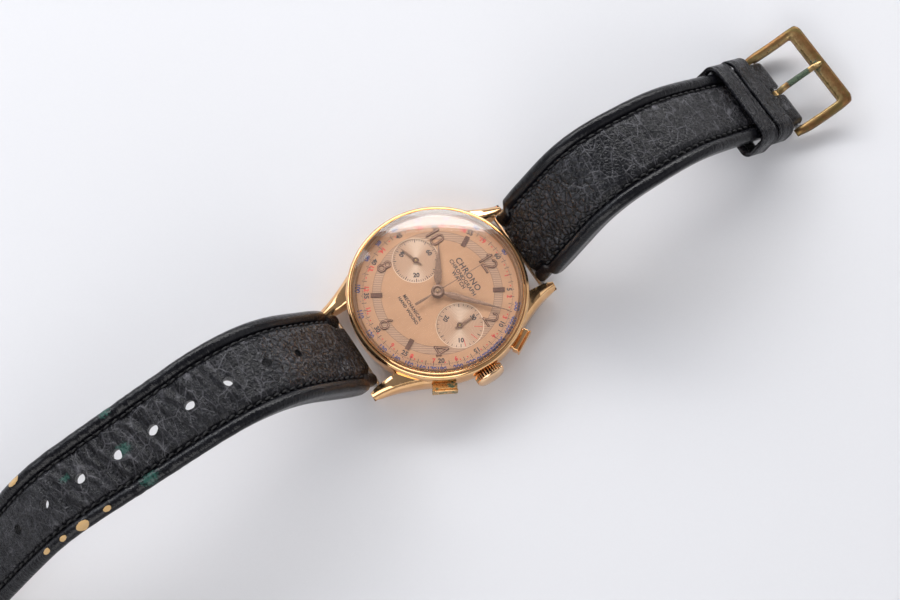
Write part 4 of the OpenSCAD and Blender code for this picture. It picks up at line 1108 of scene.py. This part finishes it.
def keeper(name, node, strap, s, w, low, high, half, t, mat, body, sag=0.0, skew=0.0):
    """A leather loop: a flat band with rounded rims and pressed lines, carried round the strap with easy corners."""
    line = strap.line
    centre = line.place(0, s + w / 2, 0)
    along, out = line.turn(s + w / 2)
    cx, cy = half - t / 2, (high - low) / 2 - t / 2
    mid = (high + low) / 2
    r_top, r_low = 1.9, 1.5
    path = []
    for qx, qy, a0, r in ((1, 1, 0, r_top), (-1, 1, 90, r_top), (-1, -1, 180, r_low), (1, -1, 270, r_low)):
        r = min(r, cy)
        for i in range(13):
            a = math.radians(a0 + 90 * i / 12)
            path.append((qx * (cx - r) + r * math.cos(a), qy * (cy - r) + r * math.sin(a), math.cos(a), math.sin(a)))
    loop = []
    for j, p in enumerate(path):
        q = path[(j + 1) % len(path)]
        gap = math.hypot(q[0] - p[0], q[1] - p[1])
        steps = max(1, int(gap / 0.45))
        for k in range(steps):
            f = k / steps
            loop.append(tuple(p[m] + (q[m] - p[m]) * f for m in range(4)))
    band = []
    for i in range(41):
        f = i / 40
        edge = min(f, 1 - f) * w
        lift = t / 2 - 0.32 + 0.32 * math.sqrt(max(0, 1 - (1 - min(1, edge / 0.32)) ** 2))
        press = 0.13 * math.exp(-((edge - 0.75) / 0.11) ** 2) + 0.11 * math.exp(-((edge - 1.25) / 0.10) ** 2)
        band.append(((f - 0.5) * w, lift - press))
    band += [((0.5 - i / 8) * w, -t / 2) for i in range(1, 8)]
    verts, place, wear, zone = [], [], [], []
    run = 0.0
    for j, (px, py, nx, ny) in enumerate(loop):
        run += math.hypot(px - loop[j - 1][0], py - loop[j - 1][1]) if j else 0.0
        bow = 0.18 * noise.noise(Vector((px * 0.16, py * 0.3, s)))
        drop = sag * (px / half) * (1 if py < 0 else 0.35)
        for y, up in band:
            turn = skew * px / half
            q = centre + Vector((px + nx * (up + bow), 0, 0)) + out * (mid + py + ny * (up + bow) - drop) + along * (y + turn)
            verts.append(tuple(q))
            place.append((run, y + s, 20.0))
            wear.append((0.15 if ny > 0.5 else 0.1, 0.0, 0.0))
            zone.append((0.0, 0.35, 0.35))
    m, c = len(loop), len(band)
    faces = [(j * c + k, j * c + (k + 1) % c, (j + 1) % m * c + (k + 1) % c, (j + 1) % m * c + k) for j in range(m) for k in range(c)]
    obj = build(name, verts, faces, mat, body, {"place": place, "wear": wear, "zone": zone})
    face_outward(obj)
    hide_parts(node)


def face_outward(obj):
    bm = bmesh.new()
    bm.from_mesh(obj.data)
    bmesh.ops.recalc_face_normals(bm, faces=bm.faces[:])
    bm.to_mesh(obj.data)
    bm.free()


# ---------------------------------------------------------------- dial print
class Print:
    """Flat printed marks of one ink, gathered into one mesh."""

    def __init__(self):
        self.verts, self.faces = [], []

    def add(self, verts, faces):
        base = len(self.verts)
        self.verts += verts
        self.faces += [tuple(base + i for i in f) for f in faces]

    def tick(self, centre, angle, r0, r1, width, z=0.0):
        """A mark between two radii, clockwise angle from twelve."""
        a = math.radians(angle)
        d, n = (math.sin(a), math.cos(a)), (math.cos(a), -math.sin(a))
        pts = [(centre[0] + d[0] * r + n[0] * w, centre[1] + d[1] * r + n[1] * w, z)
               for r, w in ((r0, -width / 2), (r1, -width / 2), (r1, width / 2), (r0, width / 2))]
        self.add(pts, [(0, 1, 2, 3)])

    def dot(self, centre, angle, r, size, z=0.0):
        a = math.radians(angle)
        c = (centre[0] + math.sin(a) * r, centre[1] + math.cos(a) * r)
        self.add([(c[0] + size * math.cos(math.radians(60 * i)), c[1] + size * math.sin(math.radians(60 * i)), z) for i in range(6)], [tuple(range(6))])

    def circle(self, centre, r, width, z=0.0, n=120):
        pts = []
        for i in range(n):
            a = 2 * math.pi * i / n
            pts += [(centre[0] + (r + k) * math.cos(a), centre[1] + (r + k) * math.sin(a), z) for k in (-width / 2, width / 2)]
        self.add(pts, [(2 * i, 2 * i + 1, (2 * i + 3) % (2 * n), (2 * i + 2) % (2 * n)) for i in range(n)])

    def text(self, words, size, centre, turn=0.0, z=0.0, spacing=1.0, stretch=1.0, offset=0.0):
        """Lettering centred on a point, turned clockwise by turn degrees."""
        curve = bpy.data.curves.new("glyphs", "FONT")
        curve.body = words
        curve.size = size
        curve.align_x = "CENTER"
        curve.align_y = "CENTER"
        curve.space_character = spacing
        curve.offset = offset
        curve.resolution_u = 3
        holder = bpy.data.objects.new("glyphs", curve)
        bpy.context.collection.objects.link(holder)
        bpy.context.view_layer.update()
        mesh = bpy.data.meshes.new_from_object(holder.evaluated_get(bpy.context.evaluated_depsgraph_get()))
        a = math.radians(-turn)
        pts = [(centre[0] + v.co.x * stretch * math.cos(a) - v.co.y * math.sin(a), centre[1] + v.co.x * stretch * math.sin(a) + v.co.y * math.cos(a), z) for v in mesh.vertices]
        self.add(pts, [tuple(p.vertices) for p in mesh.polygons])
        bpy.data.objects.remove(holder)
        bpy.data.curves.remove(curve)
        bpy.data.meshes.remove(mesh)

    def ringed(self, words, size, centre, r, angle, z=0.0, flip=False, **more):
        """A number on a scale: its top faces outwards, or the centre where flip is true."""
        a = math.radians(angle)
        self.text(words, size, (centre[0] + math.sin(a) * r, centre[1] + math.cos(a) * r), angle + (180 if flip else 0), z, **more)

    def make(self, name, mat, z):
        return build(name, [(x, y, z + q) for x, y, q in self.verts], self.faces, mat, "case", smooth=False)


def lower_half(angle):
    return 95 < angle % 360 < 265


def print_dial():
    black, red, blue = Print(), Print(), Print()
    o = (0.0, 0.0)
    bold = 0.05
    for i in range(300):
        a = i * 1.2
        second = i % 5 == 0
        black.tick(o, a, 15.2, 15.66 if second else 15.42, 0.13 if second else 0.09)
        if second and (i // 5) % 5:
            black.tick(o, a, 14.65, 15.25, 0.13)
    for k in range(1, 13):
        black.ringed(str(5 * k), 1.35, o, 14.6, 30 * k, flip=lower_half(30 * k), offset=bold)
    for k in range(1, 21):
        a = 18 * k
        if a % 30:
            red.ringed(str(k), 1.3, o, 14.6, a, flip=lower_half(a), offset=bold)
    for k in range(60):
        if k % 5 and (6 * k) % 18:
            red.dot(o, 6 * k + 3, 14.95, 0.17)
    for speed in (60, 65, 70, 75, 80, 85, 90, 100, 110, 120, 130, 140, 150, 160, 170, 180, 200, 220, 240, 260, 280, 300, 350, 400, 500):
        a = 360 * 60 / speed % 360
        blue.ringed(str(speed), 1.4, o, 16.4, a, flip=lower_half(a), spacing=0.95, offset=bold)
    for speed in range(60, 400, 5):
        if speed < 200 or speed % 10 == 0:
            blue.tick(o, 360 * 60 / speed, 15.7, 15.92, 0.1)
    black.text("CHRONO", 1.75, (0, 7.4), spacing=1.1, offset=0.03)
    black.text("CHRONOGRAPH", 1.12, (0, 6.05), spacing=1.1, offset=0.03)
    black.text("WATCH", 1.1, (0, 5.1), spacing=1.1, offset=0.03)
    black.text("MECHANICAL", 0.98, (0, -6.1), spacing=1.1, offset=0.028)
    black.text("HAND WOUND", 0.9, (0, -7.2), spacing=1.1, offset=0.028)
    sub = -0.15
    for side, marks, labels in ((-1, 60, {60: 0, 20: 120, 40: 240}), (1, 30, {30: 0, 10: 120, 20: 240})):
        c = (side * REGISTER_X, 0.0)
        for i in range(marks):
            a = 360 / marks * i
            big = i % 5 == 0
            if side > 0 and i in (3, 6, 9):
                red.tick(c, a, 2.9, 4.6, 0.12, sub)
            else:
                black.tick(c, a, 3.95 if big else 4.25, 4.65, 0.15 if big else 0.11, sub)
        for words, a in labels.items():
            black.ringed(str(words), 1.3, c, 3.2, a, sub, flip=lower_half(a), offset=bold)
    lift = 0.02
    black.make("dial_print_black", ink("ink_black", (0.035, 0.02, 0.018)), DIAL_TOP + lift)
    red.make("dial_print_red", ink("ink_red", (0.60, 0.035, 0.02)), DIAL_TOP + lift)
    blue.make("dial_print_blue", ink("ink_blue", (0.035, 0.045, 0.18)), DIAL_TOP + lift)


# ---------------------------------------------------------------- assembly
def dress_case(mats):
    make_case(mats)
    make_crown(mats)
    make_pusher("pusher_upper", "pusher_2", 1, mats["gold"], "pusher_2")
    make_pusher("pusher_lower", "pusher_4", -1, mats["pusher_old"], "pusher_4")
    make_hands(mats)
    make_buckle(mats)
    dress("tension_ring", mats["gold"])
    dress("crystal", mats["acrylic"])
    dress("case_back", mats["steel"], 0.15)
    dress("dial", mats["dial"])
    dress("applied_bars", mats["bars"], 0.07, segments=2)
    inlaid("applied_numerals", mats["numeral_rim"], mats["numeral_face"])
    for n in ("spring_bar_12", "spring_bar_6", "crown_tube", "winding_stem", "sliding_pinion", "pusher_tubes", "mainplate", "barrel_bridge",
              "train_bridge", "balance_cock", "chronograph_bridge", "barrel_arbor", "ratchet_wheel", "crown_wheel", "escape_wheel", "pallet_fork",
              "cannon_pinion", "buckle_pin"):
        dress(n, mats["steel"])
    for n in ("hour_wheel", "minute_wheel", "barrel", "centre_wheel", "third_wheel", "fourth_wheel", "balance_wheel", "chrono_runner",
              "minute_runner", "movement_ring"):
        dress(n, mats["movement_brass"])
    for n in ("hairspring", "movement_screws"):
        dress(n, mats["blued"])
    dress("jewels", mats["ruby"])
    dress("crown_seal", mats["rubber"])


def main():
    make_camera()
    make_world()
    make_stage()
    mats = {
        "gold": gold("rose_gold_polished"), "pusher_old": gold("rose_gold_dull", (0.78, 0.52, 0.26), 0.16, 1.0, 0.55), "gold_fluted": gold("rose_gold_fluted", (1.0, 0.68, 0.42), 0.12, groove_shade=True), "gold_dark": gold("gilt_hub", (0.45, 0.30, 0.18), 0.2),
        "lining": lining("leather_lining"),
        "acrylic": acrylic("crystal_clear"), "steel": steel("steel_satin"), "dial": dial_paint("dial_salmon_brushed"),
        "gilt": aged_gilt_painted_shade("gilt_aged", (0.10, 0.05, 0.036), (0.33, 0.195, 0.13)), "bars": aged_gilt_painted_shade("gilt_bars", (0.09, 0.045, 0.03), (0.17, 0.085, 0.058), 0.1),
        "gilt_light": aged_gilt_painted_shade("gilt_light", (0.26, 0.145, 0.095), (0.52, 0.33, 0.22), 0.6),
        "numeral_rim": aged_gilt_painted_shade("gilt_rims", (0.06, 0.022, 0.014), (0.10, 0.040, 0.025), 0.1), "numeral_face": aged_gilt_painted_shade("gilt_faces", (0.12, 0.06, 0.045), (0.46, 0.26, 0.17), 0.1), "movement_brass": gold("brass_gilt", (0.78, 0.58, 0.28), 0.25), "blued": steel("steel_blued", (0.06, 0.09, 0.22), 0.2),
        "ruby": ruby("ruby_jewel"), "rubber": rubbery("seal_rubber"), "patina": patina_brass("brass_patina"),
        "leather": leather("leather_black"), "thread": thread("thread_black"),
    }
    dress_case(mats)
    print_dial()
    short = Strap(SHORT, 3.0, 16.6, PIN_Y, "strap_12", 62)
    long = Strap(LONG, 2.4, 16.6, 98.0, "strap_6", 112)
    make_strap(short, "leather_strap_short", ("strap_12_leather", "strap_12_filler"), mats["leather"], 84)
    make_lining(short, "lining_short", "strap_12_lining", mats["lining"], 4.0, 66)
    tip = lambda s: 1.0 if s < 111 else math.sqrt(max(0.02, 1 - ((s - 111) / 8.6) ** 2))
    holes = [22.4 + 8.2 * i for i in range(10)]
    make_strap(long, "leather_strap_long", ("strap_6_leather", "strap_6_filler"), mats["leather"], 119.4, tip, holes)
    make_lining(long, "lining_long", "strap_6_lining", mats["lining"], 4.0, 110, holes)
    stitches(short, "stitching_short", "strap_12_stitching", mats["thread"], 5.5, 68)
    stitches(long, "stitching_long", "strap_6_stitching", mats["thread"], 5.5, 109)
    keeper("keeper_fixed", "fixed_keeper", short, 71.3, 5.2, -2.6, 3.3, 10.3, 1.0, mats["leather"], "strap_12")
    keeper("keeper_floating", "floating_keeper", short, 65.8, 5.4, -4.9, 2.9, 10.4, 1.1, mats["leather"], "floating_keeper")


main()
